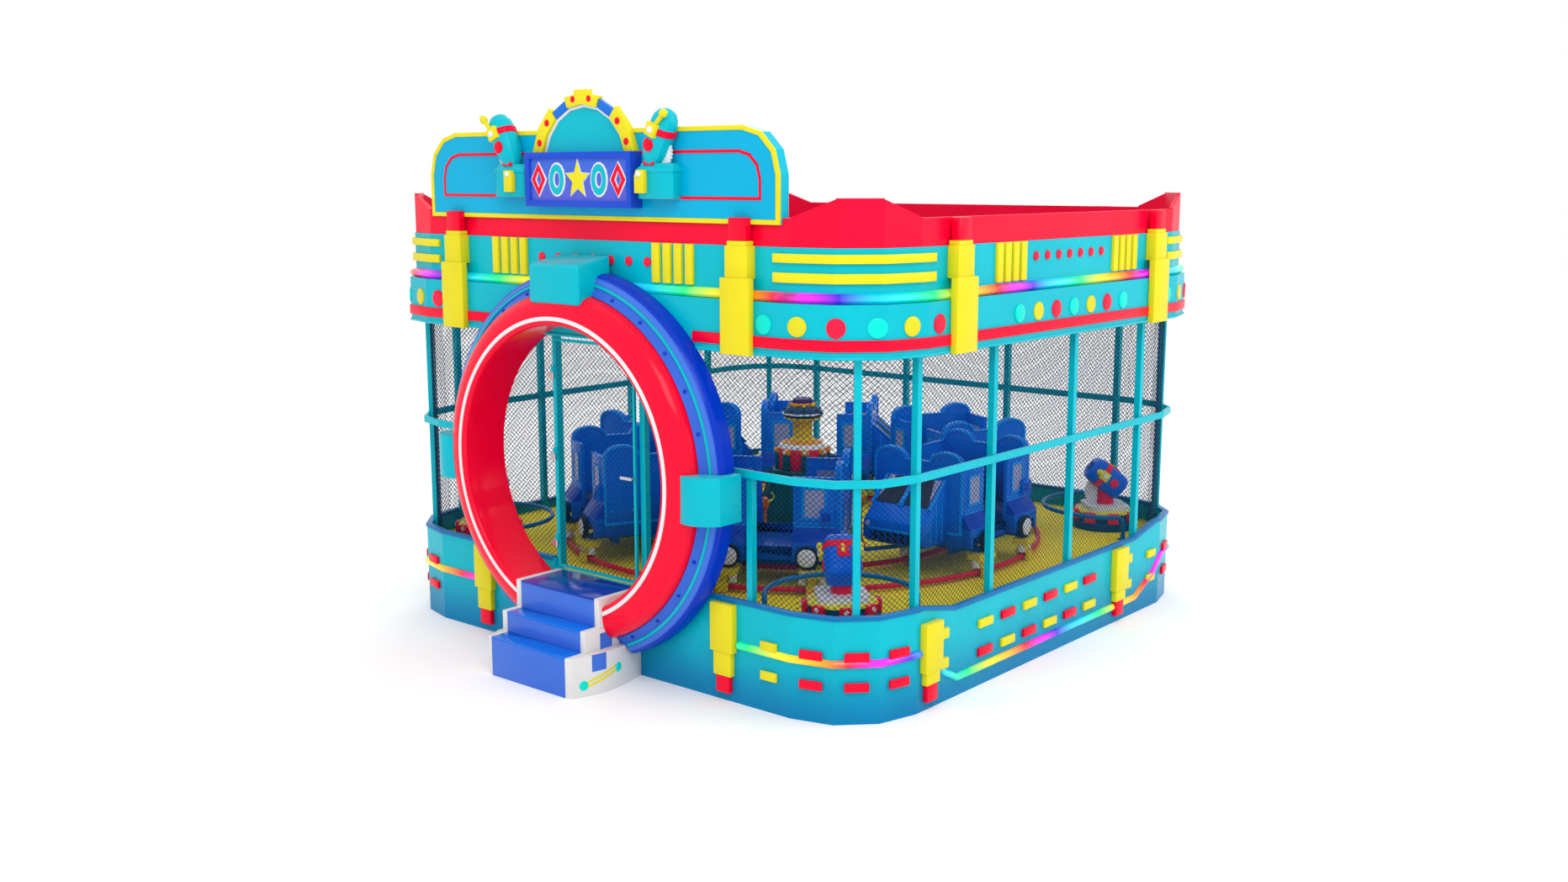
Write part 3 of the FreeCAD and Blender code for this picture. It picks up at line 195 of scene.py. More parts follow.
def finish(name, colour, roughness=0.22, coat=0.35, uneven=0.05, dust=0.08, peel_size=45.0, depth=0.0006,
           metallic=0.0, low=None):
    """A painted or moulded finish. low is (colour, height, height): the tint that the colour fades to towards
    the bottom, between the two heights; on the skirt, the car bodies and the tower cone it is painted shade.
    """
    made = bpy.data.materials.new(name)
    made.use_nodes = True
    tree = made.node_tree
    shader = tree.nodes["Principled BSDF"]
    shader.inputs["Metallic"].default_value = metallic
    shader.inputs["Specular IOR Level"].default_value = 0.1
    shader.inputs["Coat Weight"].default_value = 0.2 * coat
    shader.inputs["Coat Roughness"].default_value = 0.08
    skin = tree.nodes.new("ShaderNodeGroup")
    skin.node_tree = paint_and_shade_tree
    skin.inputs["Colour"].default_value = (*colour, 1)
    skin.inputs["Low tint"].default_value = (*(low[0] if low else colour), 1)
    skin.inputs["Low"].default_value = low[1] if low else 0.0
    skin.inputs["High"].default_value = low[2] if low else 0.01
    skin.inputs["Unevenness"].default_value = uneven
    skin.inputs["Roughness"].default_value = roughness
    skin.inputs["Dust"].default_value = dust
    skin.inputs["Peel size"].default_value = peel_size
    bump = tree.nodes.new("ShaderNodeBump")
    bump.inputs["Distance"].default_value = depth
    bump.inputs["Strength"].default_value = 0.5
    tree.links.new(skin.outputs["Colour"], shader.inputs["Base Color"])
    tree.links.new(skin.outputs["Roughness"], shader.inputs["Roughness"])
    tree.links.new(skin.outputs["Height"], bump.inputs["Height"])
    tree.links.new(bump.outputs["Normal"], shader.inputs["Normal"])
    return made


def dress(node, material):
    """A CAD node that is shown as it is gets its finish."""
    mesh = nodes[node].data
    mesh.materials.clear()
    mesh.materials.append(material)


grey_steel = finish("grey steel paint", (0.16, 0.18, 0.2), roughness=0.4, coat=0.1)
deck_yellow = finish("yellow deck paint", (0.95, 0.76, 0.01), roughness=0.6, coat=0.0, uneven=0.08,
                     dust=0.04)
dress("floor_frame", grey_steel)
dress("top_beam", grey_steel)
dress("deck", deck_yellow)


# ==== Skirt ==========================================================================================
# The cyan wall that hides the floor frame: flat sheet panels on the sides, three facets at each corner,
# the side runs dipping lower in the middle. A dark blue capping strip is folded over its top edge.
# The skirt's cyan fades to a deeper blue towards the bottom; the deeper blue is painted shade.
CYAN, SKIRT_PAINTED_SHADE = (0.0, 0.47, 0.57), (0.0, 0.2, 0.42)
cyan_skirt_with_painted_shade = finish("cyan skirt paint with painted shade", CYAN, low=(SKIRT_PAINTED_SHADE, 0.0, 0.62))
cyan_paint = finish("cyan paint", CYAN)
cap_blue = finish("dark blue capping", (0.0, 0.16, 0.42), roughness=0.3)
for skirt_node in ("skirt_corners", "skirt_sides"):
    dress(skirt_node, cyan_skirt_with_painted_shade)

skirt_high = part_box("skirt_corners")[1]
HALF_X, HALF_Y = skirt_high.x, skirt_high.y
SKIRT_TOP = skirt_high.z
CORNER = 0.74
ARC_X, ARC_Y = HALF_X - CORNER, HALF_Y - CORNER
WALLS = ("front", "right", "back", "left")
HALF_RUN = {"front": ARC_X, "right": ARC_Y, "back": ARC_X, "left": ARC_Y}


def wall_point(wall, along, out, height):
    """A point on a wall: metres along it (anticlockwise from above), out of the skirt's face, and up."""
    return {"front": Vector((along, -HALF_Y - out, height)), "right": Vector((HALF_X + out, along, height)),
            "back": Vector((-along, HALF_Y + out, height)),
            "left": Vector((-HALF_X - out, -along, height))}[wall]


def corner_point(wall, index, out, height):
    """The facet corner `index` (0 to 3) of the rounded corner that follows a wall."""
    turn = WALLS.index(wall) * 90 - 90
    centre_x, centre_y = {"front": (ARC_X, -ARC_Y), "right": (ARC_X, ARC_Y),
                          "back": (-ARC_X, ARC_Y), "left": (-ARC_X, -ARC_Y)}[wall]
    angle = radians(turn + 30 * index)
    lean = radians(turn + (7.5, 30, 60, 82.5)[index])
    spread = out / cos(radians((7.5, 15, 15, 7.5)[index]))
    return Vector((centre_x + CORNER * cos(angle) + spread * cos(lean),
                   centre_y + CORNER * sin(angle) + spread * sin(lean), height))


def run(start, end):
    """Stations along the room's outline, anticlockwise, as functions of out and height."""
    stations = [lambda out, up, s=start: wall_point(s[0], s[1], out, up)]
    wall = start[0]
    going = True
    while going:
        if wall == end[0] and (end[1] > start[1] or len(stations) > 1):
            break
        for index in range(4):
            stations.append(lambda out, up, w=wall, i=index: corner_point(w, i, out, up))
        wall = WALLS[(WALLS.index(wall) + 1) % 4]
    stations.append(lambda out, up, s=end: wall_point(s[0], s[1], out, up))
    return stations


def whole_outline():
    """Every facet corner of the outline, once round."""
    return [lambda out, up, w=wall, i=index: corner_point(w, i, out, up) for wall in WALLS
            for index in range(4)]


def swept(rings, closed=False):
    """A skin over rings of points, capped at its two ends unless it closes on itself."""
    count, verts, faces = len(rings[0]), [], []
    for ring in rings:
        verts += ring
    last = len(rings) if closed else len(rings) - 1
    for r in range(last):
        for i in range(count):
            a, b = r * count + i, r * count + (i + 1) % count
            after = (r + 1) % len(rings) * count - r * count
            faces.append((a, b, b + after, a + after))
    if not closed:
        faces.append(tuple(range(count - 1, -1, -1)))
        faces.append(tuple(range((len(rings) - 1) * count, len(rings) * count)))
    return verts, faces


def band(profile, stations, closed=False):
    """A strip with the profile's section, (out, height) corners, bent round the outline."""
    return swept([[station(out, up) for out, up in profile] for station in stations], closed)


def up_by(height):
    """An upright offset."""
    return Vector((0, 0, height))


def block(low, high):
    """A plain rectangular solid between two corners."""
    (a, b, c), (d, e, f) = low, high
    ring = [(a, b), (d, b), (d, e), (a, e)]
    return swept([[Vector((x, y, z)) for x, y in ring] for z in (c, f)])


def wall_block(wall, along, out, up):
    """A solid on a wall between two places each way."""
    ring = [(along[0], out[0]), (along[1], out[0]), (along[1], out[1]), (along[0], out[1])]
    return swept([[wall_point(wall, a, o, z) for a, o in ring] for z in up])


def piece(name, shapes, material, body="enclosure", slot=None, bevel=0.0, segments=2, smooth=35.0,
          stands_for=()):
    """One finished piece: its shapes joined, edges eased, and riding on its body."""
    mesh = bpy.data.meshes.new(name)
    verts, faces = [], []
    for shape_verts, shape_faces in shapes:
        start = len(verts)
        verts += [tuple(v) for v in shape_verts]
        faces += [tuple(i + start for i in face) for face in shape_faces]
    mesh.from_pydata(verts, [], faces)
    work = bmesh.new()
    work.from_mesh(mesh)
    bmesh.ops.remove_doubles(work, verts=work.verts, dist=0.00002)
    bmesh.ops.recalc_face_normals(work, faces=work.faces)
    if bevel:
        sharp = [e for e in work.edges if len(e.link_faces) == 2 and e.calc_face_angle(0) > radians(28)]
        bmesh.ops.bevel(work, geom=sharp, offset=bevel, segments=segments, affect="EDGES", profile=0.5,
                        clamp_overlap=True)
    for face in work.faces:
        face.smooth = True
    for edge in work.edges:
        if len(edge.link_faces) == 2 and edge.calc_face_angle(0) > radians(smooth):
            edge.smooth = False
    work.to_mesh(mesh)
    work.free()
    mesh.materials.append(material)
    made = bpy.data.objects.new(name, mesh)
    scene.collection.objects.link(made)
    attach(made, body)
    if stands_for:
        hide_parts(*stands_for)
    return made


dip_high, dip_low = ARC_Y - 0.09, ARC_Y - 0.57
side_low = 0.79
CAP_OUT, CAP_IN, CAP_UP = 0.012, -0.05, 0.014


def dipped_run(wall):
    """Stations along one dipping side, each with the skirt's height there."""
    marks = ((-dip_high, SKIRT_TOP), (-dip_low, side_low), (dip_low, side_low), (dip_high, SKIRT_TOP))
    return [lambda out, up, a=along, lift=top - SKIRT_TOP: wall_point(wall, a, out, up + lift)
            for along, top in marks]


def corner_run(wall):
    return [lambda out, up, i=index: corner_point(wall, i, out, up) for index in range(4)]


cap_profile = [(CAP_IN, SKIRT_TOP - 0.02), (CAP_OUT, SKIRT_TOP - 0.02), (CAP_OUT, SKIRT_TOP + CAP_UP),
               (CAP_IN, SKIRT_TOP + CAP_UP)]
doorway = 0.6
lap = [run(("front", doorway), ("front", ARC_X - 0.001))[0]]
cap_stations = [lap[0]] + corner_run("front") + dipped_run("right") + corner_run("right")
cap_stations += corner_run("back") + dipped_run("left") + corner_run("left")
cap_stations += [lambda out, up: wall_point("front", -doorway, out, up)]
piece("skirt_capping", [band(cap_profile, cap_stations)], cap_blue, slot="cyan_paint", bevel=0.004)


# ==== Skirt lamps, blocks and pilasters ==============================================================
# A lamp tube of changing colours runs round the skirt, low along the sides; coloured blocks are screwed
# on in rows; stepped yellow pilasters with red feet stand where the panels meet.
RAINBOW = [(0.0, (0.0, 0.6, 0.7)), (0.16, (0.0, 0.75, 0.2)), (0.3, (0.75, 0.7, 0.0)),
           (0.44, (0.9, 0.4, 0.0)), (0.56, (0.95, 0.0, 0.02)), (0.68, (0.85, 0.0, 0.75)),
           (0.8, (0.05, 0.0, 0.6)), (0.9, (0.0, 0.45, 0.7)), (1.0, (0.0, 0.6, 0.7))]
REPEAT = 2.35
CLEAR_OF_ZERO = 50 * REPEAT     # keeps every length positive, on both sides of the entrance
ARC_RUN = 1.16                 # the outline's length round one corner


def lamp_finish(name):
    """Diffusing plastic, lit from inside; the colour changes along the strip's own length."""
    made = bpy.data.materials.new(name)
    made.use_nodes = True
    tree = made.node_tree
    shader = tree.nodes["Principled BSDF"]
    shader.inputs["Coat Weight"].default_value = 0.4
    shader.inputs["Emission Strength"].default_value = 0.35
    length = add_node(tree, "ShaderNodeAttribute", attribute_name="along")
    share = add_node(tree, "ShaderNodeMath", operation="MULTIPLY")
    share.inputs[1].default_value = 1 / REPEAT
    part = add_node(tree, "ShaderNodeMath", operation="FRACT")
    ramp = tree.nodes.new("ShaderNodeValToRGB")
    marks = ramp.color_ramp.elements
    while len(marks) < len(RAINBOW):
        marks.new(0.5)
    for mark, (where, colour) in zip(marks, RAINBOW):
        mark.position, mark.color = where, (*colour, 1)
    ribs = add_node(tree, "ShaderNodeTexNoise", Scale=25.0)
    rough = add_node(tree, "ShaderNodeMapRange")
    rough.inputs["To Min"].default_value, rough.inputs["To Max"].default_value = 0.18, 0.32
    tree.links.new(length.outputs["Fac"], share.inputs[0])
    tree.links.new(share.outputs[0], part.inputs[0])
    tree.links.new(part.outputs[0], ramp.inputs["Fac"])
    tree.links.new(ramp.outputs["Color"], shader.inputs["Base Color"])
    tree.links.new(ramp.outputs["Color"], shader.inputs["Emission Color"])
    tree.links.new(ribs.outputs["Fac"], rough.inputs["Value"])
    tree.links.new(rough.outputs["Result"], shader.inputs["Roughness"])
    return made


def measure_along(made, phase=0.0):
    """Stores how far along the room's outline each point lies, for the lamp colours."""
    store = made.data.attributes.new("along", "FLOAT", "POINT")
    for vertex, item in zip(made.data.vertices, store.data):
        x, y, z = vertex.co
        if y < -ARC_Y and abs(x) <= ARC_X:
            length = x
        elif x > ARC_X and abs(y) <= ARC_Y:
            length = ARC_X + ARC_RUN + (y + ARC_Y)
        elif y > ARC_Y and abs(x) <= ARC_X:
            length = ARC_X + 2 * ARC_RUN + 2 * ARC_Y + (ARC_X - x)
        elif abs(y) <= ARC_Y:
            length = -ARC_X - ARC_RUN - (y + ARC_Y)
        else:
            side_x, side_y = (1 if x > 0 else -1), (1 if y > 0 else -1)
            angle = atan2(y - side_y * ARC_Y, x - side_x * ARC_X)
            if side_y < 0:
                length = side_x * (ARC_X + CORNER * abs(angle + pi / 2))
            else:
                swing = angle if side_x > 0 else pi - angle
                length = side_x * (ARC_X + ARC_RUN + 2 * ARC_Y + CORNER * swing)
        item.value = length + phase + CLEAR_OF_ZERO


rainbow = lamp_finish("lamp cover colours")
TUBE_LOW, TUBE_HIGH, TUBE_OUT = 0.478, 0.546, 0.034


def round_profile(out_from, out_to, low, high, steps=5):
    """A half-round section standing off a wall."""
    middle, half = (low + high) / 2, (high - low) / 2
    bulge = [(out_from + (out_to - out_from) * cos(radians(a)), middle + half * sin(radians(a)))
             for a in [-90 + 180 * k / steps for k in range(steps + 1)]]
    return bulge + [(out_from - 0.01, high), (out_from - 0.01, low)]


tube_profile = round_profile(0.0, TUBE_OUT, TUBE_LOW, TUBE_HIGH)
SIDE_DROP = [(-2.19, 0.0), (-2.03, 0.0), (-1.81, -0.234), (-1.6, -0.342), (1.65, -0.342), (2.04, -0.154),
             (2.19, 0.0)]


def dropped_run(wall, marks):
    return [lambda out, up, a=along, d=drop: wall_point(wall, a if wall == "right" else -a, out, up + d)
            for along, drop in marks]


def fine(stations, step=0.12):
    """The same stations with more between them, so that colours change smoothly along a strip."""
    made = []
    for a, b in zip(stations, stations[1:]):
        count = max(1, int((b(0, 0) - a(0, 0)).length / step))
        for k in range(count):
            made.append(lambda out, up, a=a, b=b, t=k / count: a(out, up).lerp(b(out, up), t))
    return made + [stations[-1]]


front_reach = (1.7, ARC_X)
right_run = [lambda out, up: wall_point("front", front_reach[0], out, up)] + corner_run("front")
right_run += dropped_run("right", SIDE_DROP) + corner_run("right")
back_run = [lambda out, up: wall_point("back", -ARC_X + 0.2, out, up), lambda out,
            up: wall_point("back", ARC_X - 0.2, out, up)]
left_run = corner_run("back") + dropped_run("left", SIDE_DROP[::-1]) + corner_run("left")
left_run += [lambda out, up: wall_point("front", -front_reach[0], out, up)]
skirt_lamps = piece("skirt_lamp_tube", [band(tube_profile, fine(right_run + back_run + left_run))], rainbow,
                    slot="lamp_cover", stands_for=["light_strips"])
measure_along(skirt_lamps, phase=0.9)

yellow_paint = finish("yellow paint", (0.78, 0.68, 0.015), uneven=0.06)
red_paint = finish("red paint", (0.9, 0.0, 0.03), uneven=0.04, dust=0.05)
white_plastic = finish("white plastic", (0.76, 0.77, 0.79), roughness=0.3, uneven=0.03)

yellow_blocks, red_blocks = [], []
BLOCK_WIDE, BLOCK_TALL, BLOCK_PROUD = 0.22, 0.076, 0.03
for row, height in enumerate((0.565, 0.309)):
    for number in range(6):
        along = -1.167 + 0.372 * number
        for wall, mirror in (("right", 1), ("left", -1)):
            centre = mirror * along
            solid = wall_block(wall, (centre - BLOCK_WIDE / 2, centre + BLOCK_WIDE / 2), (0, BLOCK_PROUD),
                               (height - BLOCK_TALL / 2, height + BLOCK_TALL / 2))
            (red_blocks if (number + row) % 2 else yellow_blocks).append(solid)
for wall in WALLS:
    for height in (0.572, 0.318):
        for spot, colour in ((-0.08, yellow_blocks), (0.5, red_blocks), (1.0, red_blocks),
                             (1.5, red_blocks)):
            # one block before the corner on the flat wall, then one on each facet
            if spot < 0:
                end = HALF_RUN[wall] - 0.13
                colour.append(wall_block(wall, (end - 0.17, end), (0, BLOCK_PROUD),
                                         (height - BLOCK_TALL / 2, height + BLOCK_TALL / 2)))
                continue
            facet = int(spot * 2) - 1
            a, b = ((lambda o, z, i=i: corner_point(wall, i, o, z)) for i in (facet, facet + 1))
            rings = []
            for share in (0.24, 0.76):
                rings.append([a(o, z).lerp(b(o, z), share) for o, z in
                              ((0, height - BLOCK_TALL / 2), (BLOCK_PROUD, height - BLOCK_TALL / 2),
                               (BLOCK_PROUD, height + BLOCK_TALL / 2), (0, height + BLOCK_TALL / 2))])
            colour.append(swept(rings))
piece("skirt_blocks_yellow", yellow_blocks, yellow_paint, slot="yellow_paint", bevel=0.006)
piece("skirt_blocks_red", red_blocks, red_paint, slot="red_paint", bevel=0.006)

pilaster_parts, foot_parts, tab_parts = [], [], []
FOOT_SPOTS = [("front", 1.56, 0.0), ("front", -1.56, 0.0), ("back", 1.56, 0.0), ("back", -1.56, 0.0),
              ("right", -2.02, -0.1), ("right", 1.27, -0.1), ("left", 2.02, -0.1), ("left", -1.27, -0.1)]
for wall, along, lower in FOOT_SPOTS:
    steps = [(0.125, (0, 0.07), (0.44 + lower, 0.862 + lower)), (0.098, (0, 0.058), (0.23, 0.44 + lower)),
             (0.108, (0, 0.064), (0.8 + lower, 0.84 + lower))]
    for half, out, up in steps:
        pilaster_parts.append(wall_block(wall, (along - half, along + half), out, up))
    foot_parts.append(wall_block(wall, (along - 0.075, along + 0.075), (0, 0.05), (0.08, 0.232)))
    if wall in ("right", "left"):
        after = 1 if wall == "right" else -1
        for height in (0.62, 0.36):
            tab_parts.append(wall_block(wall, sorted((along + after * 0.125, along + after * 0.24)),
                                        (0, 0.05), (height - 0.045, height + 0.045)))
piece("skirt_pilaster_bodies", pilaster_parts + tab_parts, yellow_paint, slot="yellow_paint", bevel=0.008,
      stands_for=["skirt_pilasters"])
piece("skirt_pilaster_feet", foot_parts, red_paint, slot="red_paint", bevel=0.006)


# ==== Posts, rails and wire net ======================================================================
# Square cyan steel posts stand on the deck and carry a rail at shoulder height. A wire net in a diamond
# pattern is stretched inside them, all round and over the gate's frame.
for fence_node in ("fence_posts", "fence_rails", "gate_frame"):
    dress(fence_node, cyan_paint)
wire_paint = finish("coated net wire", (0.0, 0.035, 0.09), roughness=0.5, coat=0.0)
net_low, net_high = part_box("net_panels")
NET_IN = HALF_X - net_high.x + 0.003
CELL, WIRE = 0.055, 0.0027
NET_DOOR = 0.585               # half the opening that the gate's posts leave


def geometry_tree(name, **sockets):
    """An empty geometry tree with named inputs; it ends by making copies real and setting the material."""
    tree = bpy.data.node_groups.new(name, "GeometryNodeTree")
    for label, kind in (("Geometry", "Geometry"), *sockets.items(), ("Material", "Material")):
        tree.interface.new_socket(label, in_out="INPUT", socket_type=f"NodeSocket{kind}")
    tree.interface.new_socket("Geometry", in_out="OUTPUT", socket_type="NodeSocketGeometry")
    source, result = tree.nodes.new("NodeGroupInput"), tree.nodes.new("NodeGroupOutput")
    real = tree.nodes.new("GeometryNodeRealizeInstances")
    paint = tree.nodes.new("GeometryNodeSetMaterial")
    join(tree, (real.outputs[0], paint.inputs["Geometry"]),
         (source.outputs["Material"], paint.inputs["Material"]), (paint.outputs[0], result.inputs[0]))
    return tree, source.outputs, real.inputs[0]


def copies_tree():
    """Copies of a shape in a row or round the vertical, as one real mesh."""
    tree, given, end = geometry_tree("copies in a row or a ring", Count="Int", Step="Vector", Turn="Float")
    row = add_node(tree, "GeometryNodeMeshLine", mode="OFFSET")
    number = add_node(tree, "GeometryNodeInputIndex")
    angle = add_node(tree, "ShaderNodeMath", operation="MULTIPLY")
    turn = add_node(tree, "ShaderNodeCombineXYZ")
    copy = add_node(tree, "GeometryNodeInstanceOnPoints")
    join(tree, (given["Count"], row.inputs["Count"]), (given["Step"], row.inputs["Offset"]),
         (number.outputs[0], angle.inputs[0]), (given["Turn"], angle.inputs[1]),
         (angle.outputs[0], turn.inputs["Z"]), (row.outputs[0], copy.inputs["Points"]),
         (given["Geometry"], copy.inputs["Instance"]), (turn.outputs[0], copy.inputs["Rotation"]),
         (copy.outputs[0], end))
    return tree


def wires_tree():
    """Edges made into round wires."""
    tree, given, end = geometry_tree("wires from edges", Radius="Float", Sides="Int")
    curve = add_node(tree, "GeometryNodeMeshToCurve")
    section = add_node(tree, "GeometryNodeCurvePrimitiveCircle")
    skin = add_node(tree, "GeometryNodeCurveToMesh", Fill_Caps=True)
    join(tree, (given["Geometry"], curve.inputs["Mesh"]), (given["Sides"], section.inputs[0]),
         (given["Radius"], section.inputs["Radius"]), (curve.outputs[0], skin.inputs["Curve"]),
         (section.outputs[0], skin.inputs["Profile Curve"]), (skin.outputs[0], end))
    return tree


def grown(made, tree, **inputs):
    """Runs a geometry tree on a piece and keeps the result as its plain mesh."""
    modifier = made.modifiers.new(tree.name, "NODES")
    modifier.node_group = tree
    for socket in tree.interface.items_tree:
        if socket.in_out == "INPUT" and socket.name in inputs:
            modifier[socket.identifier] = inputs[socket.name]
    bpy.context.view_layer.update()
    result = bpy.data.meshes.new_from_object(made.evaluated_get(bpy.context.evaluated_depsgraph_get()))
    made.modifiers.clear()
    old, made.data = made.data, result
    result.name = made.name
    bpy.data.meshes.remove(old)
    return made


copies, wires = copies_tree(), wires_tree()


def ringed(made, count, material):
    """Copies a piece round the room's centre line, evenly spaced."""
    return grown(made, copies, Count=count, Step=(0, 0, 0), Turn=2 * pi / count, Material=material)


def loose_edges(name, verts, edges):
    mesh = bpy.data.meshes.new(name)
    mesh.from_pydata([tuple(v) for v in verts], edges, [])
    made = bpy.data.objects.new(name, mesh)
    scene.collection.objects.link(made)
    return made


def diamond_net(width, low, high, cell):
    """Crossing slanted wires clipped to a rectangle: pairs of (along, height) ends, in short lengths."""
    tall, made = high - low, []
    slope = 0.86
    lean = tall / slope
    count = int((width + lean) / cell)
    for number in range(1, count + 1):
        foot = number * cell - lean
        t0, t1 = max(0.0, -foot / lean), min(1.0, (width - foot) / lean)
        if t1 - t0 < 0.01:
            continue
        for flip in (False, True):
            lengths = max(1, round((t1 - t0) * 6))
            for k in range(lengths):
                ends = []
                for t in (t0 + (t1 - t0) * k / lengths, t0 + (t1 - t0) * (k + 1) / lengths):
                    along = foot + lean * t
                    ends.append((width - along if flip else along, low + tall * t))
                made.append(ends)
    return made


def net_on(name, start, stop, low, high, body="enclosure"):
    """A flat net between two plan points."""
    span = stop - start
    ends = diamond_net(span.length, low, high, CELL)
    aim = span.normalized()
    verts, edges = [], []
    for pair in ends:
        edges.append((len(verts), len(verts) + 1))
        verts += [Vector((*(start + aim * a), z)) for a, z in pair]
    made = loose_edges(name, verts, edges)
    grown(made, wires, Radius=WIRE, Sides=4, Material=wire_paint)
    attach(made, body)
    return made


net_spans = []
for wall in WALLS:
    half = HALF_RUN[wall]
    ends = [(-half, half)]
    if wall == "front":
        ends = [(-half, -NET_DOOR), (NET_DOOR, half)]
    for number, (a, b) in enumerate(ends):
        net_spans.append((f"net_{wall}_{number + 1}", wall_point(wall, a, -NET_IN, 0),
                          wall_point(wall, b, -NET_IN, 0)))
    for index in range(3):
        net_spans.append((f"net_{wall}_corner_{index + 1}", corner_point(wall, index, -NET_IN, 0),
                          corner_point(wall, index + 1, -NET_IN, 0)))
net_pieces = [net_on(name, a.to_2d(), b.to_2d(), net_low.z, net_high.z) for name, a, b in net_spans]
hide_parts("net_panels")
gate_low, gate_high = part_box("gate_net")
gate_y = (gate_low.y + gate_high.y) / 2
gate_wires = net_on("gate_net_wires", Vector((gate_low.x, gate_y)), Vector((gate_high.x, gate_y)),
                    gate_low.z, gate_high.z, body="gate")
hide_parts("gate_net")
pin_steel = finish("bright hinge steel", (0.55, 0.56, 0.58), roughness=0.3, coat=0.0, metallic=1.0)
dress("gate_hinges", pin_steel)
dress("gate_latch", pin_steel)


# ==== Fascia and cornice =============================================================================
# Two tiers of cyan sheet hang round the top beam, the lower one standing further out, under a red
# cornice with raised corners. Trim bars, lens discs and studs are screwed on. A lamp strip lies on the
# ledge between the tiers.
for fascia_node in ("fascia_lower", "fascia_upper"):
    dress(fascia_node, cyan_paint)
cornice_red = finish("red cornice paint", (0.93, 0.0, 0.035), roughness=0.28, uneven=0.04, dust=0.05)
dress("cornice", cornice_red)
LOWER_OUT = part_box("fascia_lower")[1].x - HALF_X
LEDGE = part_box("fascia_lower")[1].z
UPPER_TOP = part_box("fascia_upper")[1].z
portal_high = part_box("portal_ring")[1]
PORTAL_R = portal_high.x
PORTAL_Z = portal_high.z - PORTAL_R


def walker(stations, out):
    """at(distance, out, height) along the stations, distances measured at `out`; and the length."""
    marks = [0.0]
    for a, b in zip(stations, stations[1:]):
        marks.append(marks[-1] + (b(out, 0) - a(out, 0)).length)

    def at(distance, o, up):
        k = max(0, min(len(stations) - 2, sum(1 for mark in marks[1:] if distance > mark)))
        share = (distance - marks[k]) / (marks[k + 1] - marks[k])
        return stations[k](o, up).lerp(stations[k + 1](o, up), share)
    return at, marks[-1]


def button(at, distance, height, radius, out, proud, sides=28):
    """A shallow domed disc that follows the outline under it."""
    rings = []
    for share, rise in ((1.0, -0.004), (1.0, 0.6 * proud), (0.9, proud), (0.5, 1.15 * proud),
                        (0.1, 1.2 * proud)):
        turns = [2 * pi * k / sides for k in range(sides)]
        rings.append([at(distance + radius * share * cos(a), out + rise, height + radius * share * sin(a))
                      for a in turns])
    return swept(rings)


RED_BAND = (3.05, 3.141)
ring_edge = sqrt(PORTAL_R ** 2 - (RED_BAND[0] - PORTAL_Z) ** 2) + 0.006
band_profile = [(LOWER_OUT - 0.004, RED_BAND[0]), (LOWER_OUT + 0.014, RED_BAND[0]),
                (LOWER_OUT + 0.014, RED_BAND[1]), (LOWER_OUT - 0.004, RED_BAND[1])]
piece("fascia_red_band", [band(band_profile, run(("front", ring_edge), ("front", -ring_edge)))], red_paint,
      slot="red_paint", bevel=0.004)
hem = round_profile(LOWER_OUT, LOWER_OUT + 0.012, 2.983, 3.012, steps=4)
piece("fascia_hem", [band(hem, whole_outline(), closed=True)], cyan_paint, slot="cyan_paint")

ledge_lamps = piece("fascia_lamp_strip",
                    [band(round_profile(0.0, LOWER_OUT - 0.004, LEDGE + 0.001, LEDGE + 0.084),
                          fine(whole_outline() + whole_outline()[:1]))], rainbow, slot="lamp_cover")
measure_along(ledge_lamps, phase=1.55)

lens_teal = finish("teal lens", (0.0, 0.72, 0.6), roughness=0.15, coat=0.6, dust=0.03)
lens_yellow = finish("yellow lens", (0.68, 0.62, 0.02), roughness=0.15, coat=0.6, dust=0.03)
lens_red = finish("red lens", (0.93, 0.01, 0.05), roughness=0.15, coat=0.6, dust=0.03)
LENS_R, LENS_Z, LENS_PROUD = 0.08, 3.235, 0.012
lenses = [[], [], []]
FASCIA_PILASTER = {"front": 1.785, "right": 1.73, "back": 1.785, "left": 1.73}
PILASTER_HALF = 0.155
LENS_ROW = {"right": (-0.817, 0.312), "left": (-1.055, 0.312), "back": (-0.936, 0.312)}
studs, bars = [], []
STUD_ROW = {"front": (-0.64, 0.2225, 3.68), "right": (-0.468, 0.196, 3.71), "back": (-0.695, 0.2225, 3.68),
            "left": (-0.708, 0.196, 3.71)}
BAR_ROWS = {"front": (-1.3, 0.77), "right": (-1.126, 0.914), "back": (-1.23, 0.84), "left": (-1.42, 0.634)}
BAR_WIDE, BAR_PITCH, BAR_PROUD = 0.084, 0.128, 0.032
